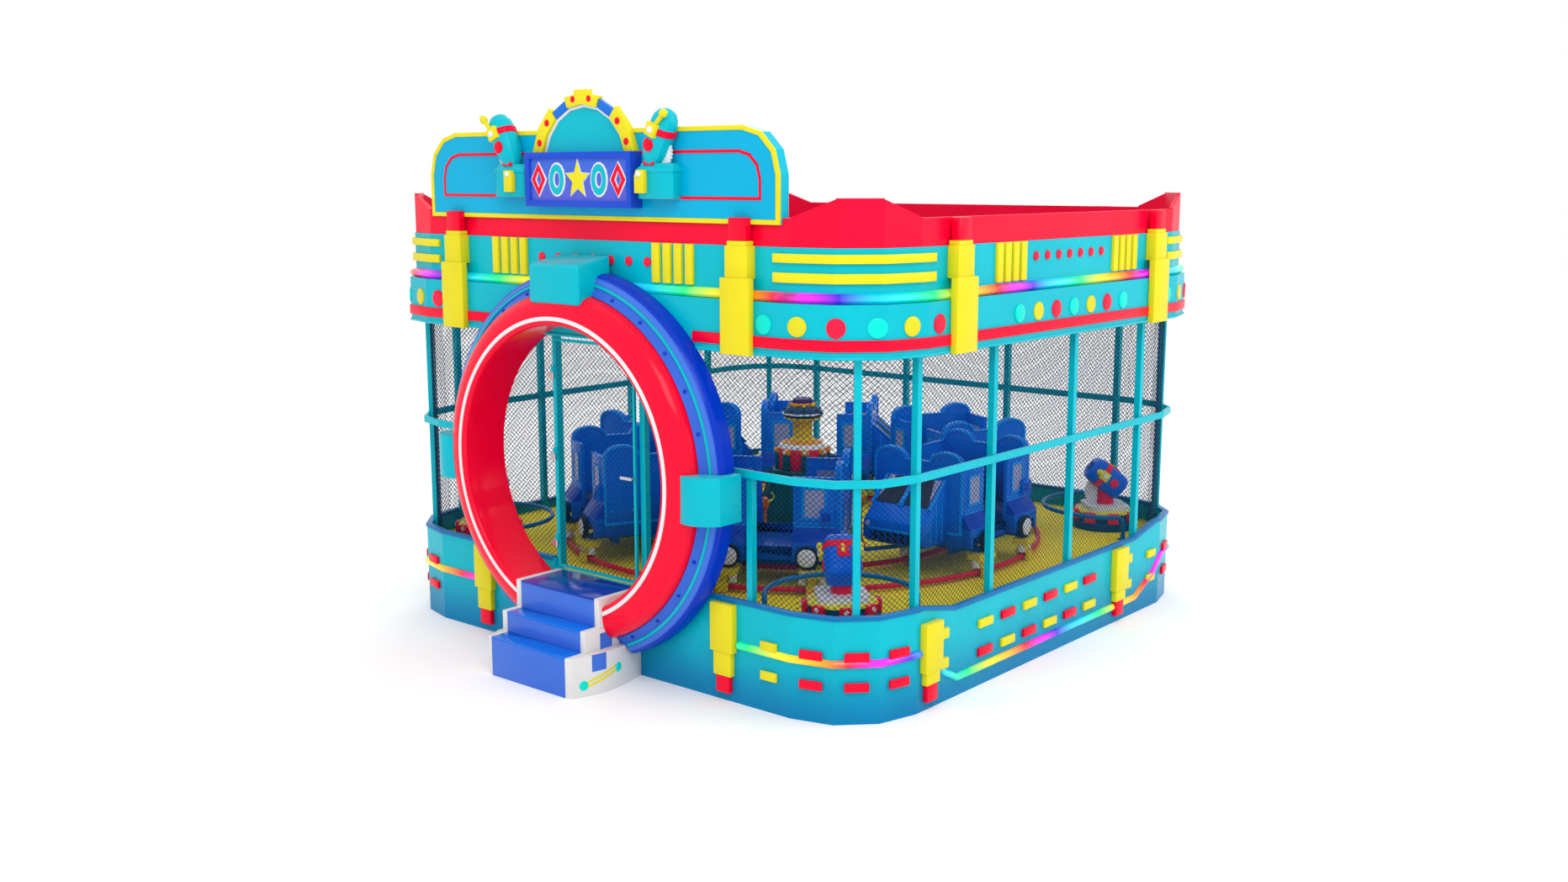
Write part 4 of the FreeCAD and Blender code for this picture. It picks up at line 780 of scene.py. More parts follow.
for number, wall in enumerate(WALLS):
    after = WALLS[(number + 1) % 4]
    stations = [lambda out, up, w=wall: wall_point(w, FASCIA_PILASTER[w] + PILASTER_HALF, out, up)]
    stations += corner_run(wall)
    stations += [lambda out, up, w=after: wall_point(w, -FASCIA_PILASTER[w] - PILASTER_HALF, out, up)]
    at, length = walker(stations, LOWER_OUT)
    for k in range(6):
        place_along = LENS_R + 0.02 + (length - 2 * LENS_R - 0.09) * k / 5
        lenses[k % 3].append(button(at, place_along, LENS_Z, LENS_R, LOWER_OUT, LENS_PROUD))
    half = HALF_RUN[wall]
    flat = [lambda out, up, w=wall, a=a: wall_point(w, a, out, up) for a in (-half, half)]
    at, length = walker(flat, LOWER_OUT)
    if wall in LENS_ROW:
        first, pitch = LENS_ROW[wall]
        for k in range(7):
            lenses[k % 3].append(button(at, first + pitch * k + half, LENS_Z, LENS_R, LOWER_OUT,
                                        LENS_PROUD))
    first, pitch, height = STUD_ROW[wall]
    for k in range(7):
        studs.append(button(at, first + pitch * k + half, height, 0.042, 0.0, 0.014, sides=20))
    for start in BAR_ROWS[wall]:
        for k in range(4):
            left_edge = start + BAR_PITCH * k
            bars.append(wall_block(wall, (left_edge, left_edge + BAR_WIDE), (-0.004, BAR_PROUD),
                                   (3.512, UPPER_TOP)))
    wrap = [lambda out, up, w=wall: wall_point(w, HALF_RUN[w] - 0.16, out, up)] + corner_run(wall)
    wrap += [lambda out, up, w=after: wall_point(w, -HALF_RUN[w] + 0.16, out, up)]
    for low, high in ((3.572, 3.65), (3.727, 3.798)):
        bars.append(band([(-0.004, low), (BAR_PROUD - 0.002, low), (BAR_PROUD - 0.002, high),
                          (-0.004, high)], wrap))
for shapes, material, colour in zip(lenses, (lens_teal, lens_yellow, lens_red), ("teal", "yellow", "red")):
    piece(f"fascia_lenses_{colour}", shapes, material, slot=f"{colour}_plastic")
piece("fascia_studs", studs, lens_red, slot="red_plastic")
piece("fascia_trim_bars", bars, yellow_paint, slot="yellow_paint", bevel=0.006)

PILASTER_BREAK = 3.595
upright_parts, red_caps = [], []
for wall in WALLS:
    for side in (-1, 1):
        centre = side * FASCIA_PILASTER[wall]
        for half, out, up in ((PILASTER_HALF, (LOWER_OUT, 0.132), (2.979, PILASTER_BREAK)),
                              (0.118, (0.0, 0.112), (PILASTER_BREAK - 0.01, UPPER_TOP + 0.004)),
                              (0.1, (0.0, 0.104), (UPPER_TOP, UPPER_TOP + 0.042))):
            upright_parts.append(wall_block(wall, (centre - half, centre + half), out, up))
        red_caps.append(wall_block(wall, (centre - 0.094, centre + 0.094), (0.02, 0.096),
                                   (UPPER_TOP + 0.042, 4.072)))
piece("fascia_pilaster_bodies", upright_parts, yellow_paint, slot="yellow_paint", bevel=0.009,
      stands_for=["fascia_pilasters"])
piece("fascia_pilaster_caps", red_caps, red_paint, slot="red_paint", bevel=0.012)


# ==== Sign ===========================================================================================
# A flat cyan board with rounded upper corners stands on the fascia over the entrance. A blue box with a
# row of plain shapes, a half-round arch and two toy rockets on plinths are bolted to its face.
board_low, board_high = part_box("sign_board")
BOARD_X, BOARD_Y, BOARD_R = board_high.x, board_low.y, 0.38
sign_side = finish("cyan board paint", (0.0, 0.5, 0.66))
sign_blue = finish("sky sign face", (0.0, 0.4, 0.66), uneven=0.04)
dress("sign_board", sign_side)


def board_outline(inset, radius=BOARD_R, steps=3):
    """Corners of the board's outline moved inwards, from its lower left corner."""
    x, low, high = BOARD_X - inset, board_low.z + inset, board_high.z - inset
    r = radius - inset * 0.8
    turns = [radians(90 * k / steps) for k in range(steps + 1)]
    right = [(x - r + r * cos(a), high - r + r * sin(a)) for a in turns]
    return [(-x, low), (x, low)] + right + [(-a, b) for a, b in reversed(right)]


def slab_of(outline, y_back, y_front):
    """A flat plate facing the entrance, from (x, z) corners."""
    return swept([[Vector((x, y, z)) for x, z in outline] for y in (y_back, y_front)])


def frame_of(outer, inner, y_back, y_front):
    """A flat strip between two outlines that have the same number of corners."""
    return swept([[Vector((a[0], y_back, a[1])), Vector((a[0], y_front, a[1])),
                   Vector((b[0], y_front, b[1])), Vector((b[0], y_back, b[1]))] for a,
                  b in zip(outer, inner)], closed=True)


piece("sign_face", [slab_of(board_outline(0.03), BOARD_Y + 0.002, BOARD_Y - 0.004)], sign_blue,
      slot="cyan_paint")
piece("sign_edging", [frame_of(board_outline(-0.002), board_outline(0.036), BOARD_Y + 0.012,
                               BOARD_Y - 0.012)], yellow_paint, slot="yellow_paint", bevel=0.003)
piece("sign_line", [frame_of(board_outline(0.186), board_outline(0.212), BOARD_Y, BOARD_Y - 0.009)],
      red_paint, slot="red_paint", bevel=0.002)

sign_box_low, sign_box_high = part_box("sign_box")
BOX_X, BOX_FRONT = sign_box_high.x, sign_box_low.y
box_blue = finish("blue sign box", (0.012, 0.07, 0.58))
box_panel = finish("blue sign panel", (0.05, 0.14, 0.66), low=((0.1, 0.12, 0.62), 4.16, 4.56))


def rectangle(x, low, high):
    return [(-x, low), (x, low), (x, high), (-x, high)]


FRAME_WIDE, SINK = 0.055, 0.028
bz0, bz1 = sign_box_low.z, sign_box_high.z
box_outer, box_inner = rectangle(BOX_X, bz0, bz1), rectangle(BOX_X - FRAME_WIDE, bz0 + FRAME_WIDE,
                                                             bz1 - FRAME_WIDE)
piece("sign_box_case", [frame_of(box_outer, box_inner, BOARD_Y, BOX_FRONT)], box_blue, slot="blue_plastic",
      bevel=0.006, stands_for=["sign_box"])
piece("sign_box_panel", [slab_of(box_inner, BOX_FRONT + 0.07, BOX_FRONT + SINK)], box_panel,
      slot="sky_plastic")


def round_shape(centre_x, centre_z, wide, tall, points, turn=0.0, inner=1.0):
    """A regular outline; with inner below 1 it becomes a star."""
    made = []
    for k in range(points):
        share = inner if k % 2 else 1.0
        a = turn + 2 * pi * k / points
        made.append((centre_x + wide * share * cos(a), centre_z + tall * share * sin(a)))
    return made


sign_mid = (bz0 + bz1) / 2
motif_back = BOX_FRONT + SINK + 0.002
motifs = {"red": [], "cyan": [], "yellow": []}
borders = []
for centre, colour, wide, tall, points, turn, inner in (
        (-0.5, "red", 0.088, 0.14, 4, pi / 2, 1.0), (-0.265, "cyan", 0.09, 0.13, 32, 0, 1.0),
        (0.0, "yellow", 0.15, 0.165, 10, pi / 2, 0.42), (0.265, "cyan", 0.09, 0.13, 32, 0, 1.0),
        (0.5, "red", 0.088, 0.14, 4, pi / 2, 1.0)):
    rim = round_shape(centre, sign_mid, wide + 0.014, tall + 0.016, points, turn, inner * 1.03)
    body = round_shape(centre, sign_mid, wide, tall, points, turn, inner)
    if colour == "yellow":
        borders.append(slab_of(rim, motif_back, motif_back - 0.012))
        motifs[colour].append(slab_of(body, motif_back, motif_back - 0.018))
        continue
    hole = round_shape(centre, sign_mid, wide * 0.5, tall * 0.55, points, turn)
    hole_rim = round_shape(centre, sign_mid, wide * 0.5 - 0.012, tall * 0.55 - 0.014, points, turn)
    borders.append(frame_of(rim, hole_rim, motif_back, motif_back - 0.012))
    motifs[colour].append(frame_of(body, hole, motif_back, motif_back - 0.018))
piece("sign_motif_borders", borders, white_plastic, slot="white_plastic", bevel=0.002, segments=1)
for colour, material in (("red", red_paint), ("cyan", cyan_paint), ("yellow", yellow_paint)):
    piece(f"sign_motifs_{colour}", motifs[colour], material, slot=f"{colour}_paint", bevel=0.002,
          segments=1)

ARCH_Z, ARCH_R, ARCH_BACK = 4.47, 0.656, BOARD_Y - 0.001
arch_foot = asin((bz1 - ARCH_Z) / ARCH_R)
ARCH_FACETS = 8
arch_blue = finish("blue arch paint", (0.01, 0.16, 0.66))


def arch_point(index, radius):
    a = arch_foot + index * (pi - 2 * arch_foot) / ARCH_FACETS
    return (radius * cos(a), ARCH_Z + radius * sin(a))


def arch_strip(first, last, inner, outer, front):
    """A run of the arch's facets between two radii."""
    rings = []
    for index in range(first, last + 1):
        a, b = arch_point(index, inner), arch_point(index, outer)
        rings.append([Vector((a[0], ARCH_BACK, a[1])), Vector((a[0], front, a[1])),
                      Vector((b[0], front, b[1])), Vector((b[0], ARCH_BACK, b[1]))])
    return swept(rings)


arch_panel = [arch_point(k, 0.53) for k in range(ARCH_FACETS + 1)]
piece("arch_panel", [slab_of(arch_panel, ARCH_BACK, ARCH_BACK - 0.022)], cyan_paint, slot="cyan_paint",
      stands_for=["sign_arch"])
piece("arch_line", [arch_strip(0, ARCH_FACETS, 0.508, 0.536, ARCH_BACK - 0.034)], white_plastic,
      slot="white_plastic", bevel=0.003)
piece("arch_segments_blue", [arch_strip(2, 3, 0.532, 0.61, ARCH_BACK - 0.05),
                             arch_strip(5, 6, 0.532, 0.61, ARCH_BACK - 0.05)], arch_blue,
      slot="blue_plastic", bevel=0.006)
keystone = block((-0.085, ARCH_BACK - 0.068, ARCH_Z + 0.6), (0.085, ARCH_BACK, ARCH_Z + ARCH_R))
piece("arch_segments_yellow", [arch_strip(0, 2, 0.532, ARCH_R, ARCH_BACK - 0.062),
                               arch_strip(3, 5, 0.532, 0.632, ARCH_BACK - 0.066),
                               arch_strip(6, 8, 0.532, ARCH_R, ARCH_BACK - 0.062), keystone],
      yellow_paint, slot="yellow_paint", bevel=0.007)


def lathe(profile, centre, axis=(0, 0, 1), sides=32, turn=0.0):
    """A turned shape: (radius, height) corners spun about an axis through a centre."""
    aim = Vector(axis).normalized()
    across = Vector((1, 0, 0)) if abs(aim.z) > 0.95 else up_by(1).cross(aim).normalized()
    third = aim.cross(across)
    rings = []
    for radius, height in profile:
        rings.append([Vector(centre) + aim * height + (across * cos(a) + third * sin(a)) * radius
                      for a in (turn + 2 * pi * k / sides for k in range(sides))])
    return swept(rings)


def dome(radius, proud, lift=0.0):
    """The profile of a shallow domed stud: a short edge, then a crown."""
    return [(radius, lift), (radius, lift + 0.4 * proud)] + [(radius * cos(radians(a)),
                                                              lift + proud * (0.4 + 0.6 * sin(radians(a))))
                                                             for a in (30, 55, 75)] + [(0, lift + proud)]


arch_dots = []
for index in (0, 1, 3, 4, 6, 7):
    middle = [(a + b) / 2 for a, b in zip(arch_point(index, 0.592), arch_point(index + 1, 0.592))]
    arch_dots.append(lathe(dome(0.03, 0.012), (middle[0], ARCH_BACK - 0.06, middle[1]), (0, -1, 0), 20))
piece("arch_dots", arch_dots, red_paint, slot="red_paint")

PLINTH_IN, PLINTH_OUT, PLINTH_LOW, PLINTH_TOP = 0.7, 1.13, 4.21, 4.5
plinths, plinth_tags, plinth_studs = [], [], []
rocket_bodies, rocket_bands, rocket_spots, rocket_tags = [], [], [], []
saws, wedges, rocket_white = [], [], []
for side in (1, -1):
    def plinth_ring(grow, z, side=side):
        front, shoulder = BOARD_Y - 0.17 - grow, BOARD_Y - 0.11 - grow
        corners = [(PLINTH_IN - grow, BOARD_Y), (PLINTH_IN - grow, shoulder), (PLINTH_IN + 0.09, front),
                   (PLINTH_OUT - 0.11, front), (PLINTH_OUT + grow, shoulder), (PLINTH_OUT + grow, BOARD_Y)]
        return [Vector((side * x, y, z)) for x, y in corners]
    levels = [(-0.012, PLINTH_LOW), (-0.012, 4.42), (0.0, 4.43), (0.0, 4.452), (-0.03, PLINTH_TOP - 0.018),
              (-0.035, PLINTH_TOP)]
    plinths.append(swept([plinth_ring(grow, z) for grow, z in levels]))
    tag_x, tag_y = side * 0.825, BOARD_Y - 0.158
    tag = [(-0.055, 0.0), (0.055, 0.0), (0.055, 0.19), (-0.035, 0.19), (-0.055, 0.14)]
    plinth_tags.append(swept([[Vector((tag_x + side * x, y, 4.255 + z)) for x, z in tag]
                              for y in (tag_y, tag_y - 0.045)]))
    plinth_studs.append(lathe(dome(0.024, 0.022), (tag_x, tag_y - 0.045, 4.41), (0, -1, 0), 20))

    foot = Vector((side * 0.86, BOARD_Y - 0.09, PLINTH_TOP - 0.02))
    lean = Vector((side * 0.42, 0, 0.9)).normalized()
    hull = [(0.0, 0.0), (0.05, 0.0), (0.085, 0.05), (0.115, 0.13), (0.122, 0.22), (0.122, 0.34),
            (0.108, 0.42), (0.075, 0.475), (0.03, 0.497), (0.0, 0.5)]
    rocket_bodies.append(lathe(hull, foot, lean, 12))
    rocket_bands.append(lathe([(0.122, 0.285), (0.129, 0.288), (0.129, 0.342), (0.122, 0.345)], foot, lean,
                              12))
    rocket_spots.append(lathe(dome(0.056, 0.02), foot + lean * 0.185 + Vector((0, -0.108, 0)), (0, -1, 0),
                              24))
    tag_at = foot + lean * 0.315 + Vector((0, -0.112, 0))
    square = [tag_at + (lean * b + lean.cross(Vector((0, -1, 0))) * a) for a, b in
              ((-0.055, -0.055), (0.055, -0.055), (0.055, 0.055), (-0.055, 0.055))]
    rocket_tags.append(swept([[p + Vector((0, y, 0)) for p in square] for y in (0.01, -0.034)]))
    rocket_white.append(lathe(dome(0.03, 0.016), tag_at + Vector((0, -0.034, 0)), (0, -1, 0), 20))
    horn_way = (lean + Vector((side * 0.5, 0, 0))).normalized()
    horn_foot = tag_at + Vector((0, -0.006, 0))
    rocket_tags.append(lathe([(0.02, 0.05), (0.02, 0.15), (0.032, 0.16), (0.036, 0.185), (0.026, 0.21),
                              (0.0, 0.214)], horn_foot, horn_way, 16))
    hub = foot + Vector((side * 0.075, 0.02, 0.105))
    teeth = [Vector((side * (0.15 if k % 2 else 0.138) * cos(a), 0, (0.15 if k % 2 else 0.138) * sin(a)))
             for k, a in enumerate(-pi / 2 + pi * j / 28 for j in range(29))]
    saws.append(swept([[hub + t + Vector((0, y, 0)) for t in teeth] for y in (0.012, -0.012)]))
    wedge = [Vector((-side * 0.11, 0, -0.1)), Vector((side * 0.01, 0, -0.1)), Vector((side * 0.01, 0, 0.1)),
             Vector((-side * 0.05, 0, 0.04))]
    wedges.append(swept([[hub + t + Vector((0, y, 0)) for t in wedge] for y in (-0.02, -0.085)]))
piece("sign_plinths", plinths, cyan_paint, slot="cyan_paint", bevel=0.005, stands_for=["sign_ornaments"])
piece("sign_plinth_tags", plinth_tags, yellow_paint, slot="yellow_paint", bevel=0.004)
piece("sign_white_studs", plinth_studs + rocket_white, white_plastic, slot="white_plastic")
piece("sign_rocket_bodies", rocket_bodies, cyan_paint, slot="cyan_paint", bevel=0.003)
piece("sign_rocket_bands", rocket_bands + wedges, red_paint, slot="red_paint", bevel=0.003)
piece("sign_rocket_spots", rocket_spots, red_paint, slot="red_paint")
piece("sign_rocket_tags", rocket_tags, yellow_paint, slot="yellow_paint", bevel=0.004)
piece("sign_rocket_wheels", saws, white_plastic, slot="white_plastic")


# ==== Portal =========================================================================================
# The round way in: a moulded red tunnel with a rolled lip, a stepped blue ring round it against the wall,
# and three cyan clamps. Each ring is open at the bottom, where the steps come through.
red_gloss = finish("red portal gelcoat", (0.93, 0.0, 0.03), roughness=0.12, coat=0.7, uneven=0.03,
                   dust=0.03)
ring_blue = finish("blue portal gelcoat", (0.035, 0.13, 0.62), roughness=0.14, coat=0.6, dust=0.03)
ring_pale = finish("light blue portal gelcoat", (0.055, 0.16, 0.66), roughness=0.14, coat=0.6, dust=0.03)
ring_deep = finish("deep blue portal rim", (0.0, 0.035, 0.5), roughness=0.16, coat=0.5, dust=0.03)
FRONT_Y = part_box("portal_tunnel")[0].y
RING_BACK = portal_high.y
STEP_X, BULGE_X, BULGE_R = 0.545, 0.635, 1.62


def portal_point(radius, y, share):
    """A point at a share of the way round a ring, from the steps up, over and down to them again."""
    reach = STEP_X if radius < BULGE_R else BULGE_X
    start = -pi / 2 + asin(reach / radius)
    a = start + (pi - 2 * start) * share
    return Vector((radius * cos(a), y, PORTAL_Z + radius * sin(a)))


def portal_ring(profile, turns=112):
    return swept([[portal_point(r, y, k / turns) for r, y in profile] for k in range(turns + 1)])


TUNNEL_R, LIP_R = 1.255, 1.545
LIP_BACK = FRONT_Y + 0.185
tunnel_profile = [(TUNNEL_R, -HALF_Y - 0.004), (TUNNEL_R, FRONT_Y + 0.05), (1.258, FRONT_Y + 0.028),
                  (1.268, FRONT_Y + 0.01), (1.284, FRONT_Y), (1.345, FRONT_Y + 0.002),
                  (1.4, FRONT_Y + 0.01), (1.45, FRONT_Y + 0.026), (1.49, FRONT_Y + 0.05),
                  (1.522, FRONT_Y + 0.082), (1.54, FRONT_Y + 0.12), (LIP_R, FRONT_Y + 0.15),
                  (LIP_R, LIP_BACK), (1.29, LIP_BACK), (1.29, -HALF_Y - 0.004)]
piece("portal_tunnel_shell", [portal_ring(tunnel_profile)], red_gloss, slot="red_plastic", smooth=42,
      stands_for=["portal_tunnel"])
piece("portal_white_line", [portal_ring([(1.298, FRONT_Y + 0.006), (1.302, FRONT_Y - 0.006),
                                         (1.334, FRONT_Y - 0.005), (1.338, FRONT_Y + 0.007)])],
      white_plastic, slot="white_plastic", smooth=42)
ring_profile = [(1.292, RING_BACK), (1.292, LIP_BACK + 0.001), (1.547, LIP_BACK + 0.001),
                (1.552, FRONT_Y + 0.168), (1.575, FRONT_Y + 0.19), (1.612, FRONT_Y + 0.212),
                (1.66, FRONT_Y + 0.22), (1.7, FRONT_Y + 0.236), (1.7, RING_BACK)]
piece("portal_ring_body", [portal_ring(ring_profile)], ring_blue, slot="blue_plastic", smooth=42,
      stands_for=["portal_ring"])
piece("portal_ring_stripe", [portal_ring([(1.624, FRONT_Y + 0.222), (1.627, FRONT_Y + 0.206),
                                          (1.65, FRONT_Y + 0.208), (1.653, FRONT_Y + 0.226)])],
      cyan_paint, slot="cyan_paint", smooth=42)
piece("portal_ring_edge", [portal_ring([(1.654, FRONT_Y + 0.24), (1.656, FRONT_Y + 0.214),
                                        (1.694, FRONT_Y + 0.234), (1.706, FRONT_Y + 0.25)])],
      ring_pale, slot="sky_plastic", smooth=42)
piece("portal_ring_rim", [portal_ring([(1.698, FRONT_Y + 0.239), (1.712, FRONT_Y + 0.252),
                                       (PORTAL_R, FRONT_Y + 0.3), (PORTAL_R, RING_BACK),
                                       (1.698, RING_BACK)])], ring_deep, slot="blue_plastic", smooth=42)
bolt_profile = [(0.017, -0.004), (0.017, 0.006), (0.012, 0.011), (0, 0.012)]
ring_bolts = [lathe(bolt_profile, portal_point(1.586, FRONT_Y + 0.196, (k + 0.5) / 24), (0, -1, 0), 6)
              for k in range(24)]
piece("portal_ring_bolts", ring_bolts, ring_deep, slot="blue_plastic")

clamp_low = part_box("portal_clamps")[0]
clamp_solids = []
for y, half, low, high in ((clamp_low.y, 0.305, 3.318, 3.64), (clamp_low.y + 0.03, 0.31, 3.31, 3.655),
                           (RING_BACK, 0.31, 3.36, 3.725)):
    clamp_solids.append([Vector((x, y, z)) for x, z in rectangle(half, low, high)])
piece("portal_clamp_top", [swept(clamp_solids)], cyan_paint, slot="cyan_paint", bevel=0.028, segments=4,
      stands_for=["portal_clamps"])
side_clamps = []
for side in (1, -1):
    plan = [(1.42 + 0.378 * k / 8, clamp_low.y + 0.085 * (2 * k / 8 - 0.75) ** 2) for k in range(9)]
    plan += [(1.798, RING_BACK), (1.42, RING_BACK)]
    side_clamps.append(swept([[Vector((side * x, y, z)) for x, y in plan] for z in (1.6, 2.0)]))
piece("portal_clamps_side", side_clamps, cyan_paint, slot="cyan_paint", bevel=0.006)


# ==== Entrance steps =================================================================================
# Three glossy blue treads between white side panels. The panels swell outwards near the ground and carry
# blue squares, teal discs and yellow lines.
step_low, step_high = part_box("step_treads")
riser_blue = finish("blue riser gelcoat", (0.05, 0.16, 0.66), roughness=0.16, coat=0.6, dust=0.02)
tread_blue = finish("bright blue tread", (0.0, 0.17, 0.78), roughness=0.08, coat=0.9, uneven=0.05,
                    dust=0.02)
landing_blue = finish("dark landing", (0.0, 0.04, 0.4), roughness=0.1, coat=0.9, dust=0.03)
panel_white = finish("white side panel", (0.72, 0.72, 0.72), roughness=0.25, uneven=0.03, dust=0.04)
STEP_HALF = step_high.x
FOOT_Y = step_low.y
RISES = [(FOOT_Y, 0.36), (FOOT_Y + 0.19, 0.548), (FOOT_Y + 0.36, 0.8)]
risers, treads, grips = [], [], []
for number, (y, top) in enumerate(RISES):
    below = RISES[number - 1][1] if number else 0.0
    next_y = RISES[number + 1][0] if number < 2 else -HALF_Y
    risers.append(block((-STEP_HALF, y, below), (STEP_HALF, y + 0.03 if number < 2 else -HALF_Y,
                                                 top - 0.016)))
    tread = block((-STEP_HALF, y - 0.004 if number else y, top - 0.016), (STEP_HALF,
                  next_y + (0.012 if number < 2 else 0), top))
    (treads if number < 2 else grips).append(tread)
risers.append(block((-STEP_HALF, FOOT_Y + 0.03, 0.0), (STEP_HALF, -HALF_Y, 0.34)))
risers.append(block((-STEP_HALF, FOOT_Y + 0.22, 0.34), (STEP_HALF, -HALF_Y, 0.53)))
piece("step_riser_panels", risers, riser_blue, slot="blue_plastic", bevel=0.004, stands_for=["step_treads"])
piece("step_tread_covers", treads, tread_blue, slot="sky_plastic", bevel=0.005)
piece("step_landing_cover", grips, landing_blue, slot="blue_plastic", bevel=0.005)
ribs = piece("step_grip_ribs", [block((-0.42, RISES[0][0] + 0.03, RISES[0][1]),
                                      (0.42, RISES[0][0] + 0.036, RISES[0][1] + 0.002))], tread_blue,
             slot="sky_plastic")
grown(ribs, copies, Count=5, Step=(0, 0.022, 0), Material=tread_blue)

SIDE_WIDE = 0.06
panels, squares, panel_discs, panel_lines = [], [], [], []
REACH = -HALF_Y - FOOT_Y
BULGE = [(0.06, 0.02), (0.066, 0.05), (0.123, 0.22), (0.148, 0.36), (0.15, 0.46), (0.136, 0.6),
         (0.114, 0.75), (0.08, 0.9), (0.06, 1.0)]


def bulge_at(share):
    """How far the low panel stands out from the treads, at a share of the way to the wall."""
    for (a, s), (b, t) in zip(BULGE, BULGE[1:]):
        if share <= t:
            return a + (b - a) * (share - s) / (t - s)
    return BULGE[-1][0]


for side in (1, -1):
    plan = [(STEP_HALF, FOOT_Y)] + [(STEP_HALF + out, FOOT_Y + share * REACH) for out, share in BULGE]
    plan += [(STEP_HALF, -HALF_Y)]
    panels.append(swept([[Vector((side * x, y, z)) for x, y in plan] for z in (0.0, 0.356)]))
    for y, high in RISES[1:]:
        panels.append(wall_block("front", sorted((side * STEP_HALF, side * (STEP_HALF + SIDE_WIDE))),
                                 (0.0, -HALF_Y - y + 0.006), (0.35 if high < 0.6 else 0.54, high + 0.004)))

    def patch(y0, y1, z0, z1, proud=0.002, side=side):
        """A thin decal-like plate on the swelling part of the panel."""
        rings = []
        for k in range(7):
            y = y0 + (y1 - y0) * k / 6
            x = STEP_HALF + bulge_at((y - FOOT_Y) / REACH)
            rings.append([Vector((side * (x + o), y, z)) for o,
                          z in ((-0.01, z0), (proud, z0), (proud, z1), (-0.01, z1))])
        return swept(rings)
    squares.append(patch(FOOT_Y + 0.2, FOOT_Y + 0.345, 0.21, 0.3562))
    squares.append(block(sorted((side * (STEP_HALF + SIDE_WIDE - 0.02),
                                 side * (STEP_HALF + SIDE_WIDE + 0.002)))[:1] + [FOOT_Y + 0.36, 0.36],
                         sorted((side * (STEP_HALF + SIDE_WIDE - 0.02),
                                 side * (STEP_HALF + SIDE_WIDE + 0.002)))[1:] + [FOOT_Y + 0.5, 0.5]))
    for y, z in ((FOOT_Y + 0.13, 0.1), (FOOT_Y + 0.5, 0.185)):
        x = STEP_HALF + bulge_at((y - FOOT_Y) / REACH)
        panel_discs.append(lathe(dome(0.045, 0.014), (side * (x - 0.006), y, z),
                                 (side, -0.28 if y < FOOT_Y + 0.3 else 0.25, 0), 24))
    for lift in (-0.012, 0.028):
        rings = []
        for k in range(9):
            y = FOOT_Y + 0.16 + 0.3 * k / 8
            z = 0.1 + lift + 0.085 * k / 8
            x = STEP_HALF + bulge_at((y - FOOT_Y) / REACH)
            rings.append([Vector((side * (x + o), y, z + u)) for o, u in ((-0.008, -0.009), (0.004, -0.009),
                          (0.004, 0.009), (-0.008, 0.009))])
        panel_lines.append(swept(rings))
piece("step_side_panels", panels, panel_white, slot="white_plastic", bevel=0.005, stands_for=["step_sides"])
piece("step_blue_squares", squares, riser_blue, slot="blue_plastic")
piece("step_teal_discs", panel_discs, lens_teal, slot="teal_plastic")
piece("step_yellow_lines", panel_lines, yellow_paint, slot="yellow_paint")


# ==== Rails and corner guards ========================================================================
# Two rings of red steel tube on chairs carry the ride. A bent blue tube fences off each corner figure.
rail_red = finish("red rail enamel", (0.72, 0.0, 0.02), roughness=0.25, coat=0.5, dust=0.1)
for rail_node in ("outer_rail", "inner_rail"):
    dress(rail_node, rail_red)
DECK_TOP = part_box("deck")[1].z
guard_blue = finish("blue guard enamel", (0.0, 0.15, 0.42), roughness=0.25)


def tube(path, radius, sides=12):
    """A round bar along a path, mitred at each point."""
    rings, across = [], None
    for k, spot in enumerate(path):
        ahead = (path[min(k + 1, len(path) - 1)] - path[max(k - 1, 0)]).normalized()
        across = (across - ahead * across.dot(ahead) if across else ahead.orthogonal()).normalized()
        third = ahead.cross(across)
        rings.append([spot + (across * cos(2 * pi * i / sides) + third * sin(2 * pi * i / sides)) * radius
                      for i in range(sides)])
    return swept(rings)


FIGURES = [(sx, sy) for sx in (1, -1) for sy in (1, -1)]
FIGURE_AT, GUARD_R, GUARD_Z, GUARD_TUBE, BEND = 2.3, 0.65, 0.93, 0.023, 0.07
guards, feet = [], []
for sx, sy in FIGURES:
    centre, inward = Vector((sx * FIGURE_AT, sy * FIGURE_AT, 0)), atan2(-sy, -sx)
    path = []
    for end in (-1, 1):
        spot = centre + Vector((cos(inward + end * pi / 2), sin(inward + end * pi / 2), 0)) * GUARD_R
        along = Vector((cos(inward), sin(inward), 0))
        legs = [spot + up_by(DECK_TOP), spot + up_by(GUARD_Z - BEND)]
        legs += [spot + along * BEND * (1 - cos(a)) + Vector((0, 0, GUARD_Z - BEND + BEND * sin(a)))
                 for a in (radians(t) for t in (22, 45, 68))]
        feet.append(lathe([(0.052, 0), (0.052, 0.008), (0.03, 0.014), (0.024, 0.03)],
                          spot + up_by(DECK_TOP), sides=24))
        arc = [centre + Vector((cos(inward + end * t), sin(inward + end * t), 0)) * GUARD_R + up_by(GUARD_Z)
               for t in (pi / 2 - BEND / GUARD_R - k * (pi / 2 - BEND / GUARD_R) / 12
                         for k in range(13 if end < 0 else 12))]
        path = legs + arc if end < 0 else path + (legs + arc)[::-1]
    guards.append(tube(path, GUARD_TUBE))
piece("guard_tubes", guards, guard_blue, slot="blue_plastic", stands_for=["guard_rails"])
piece("guard_feet", feet, guard_blue, slot="blue_plastic")


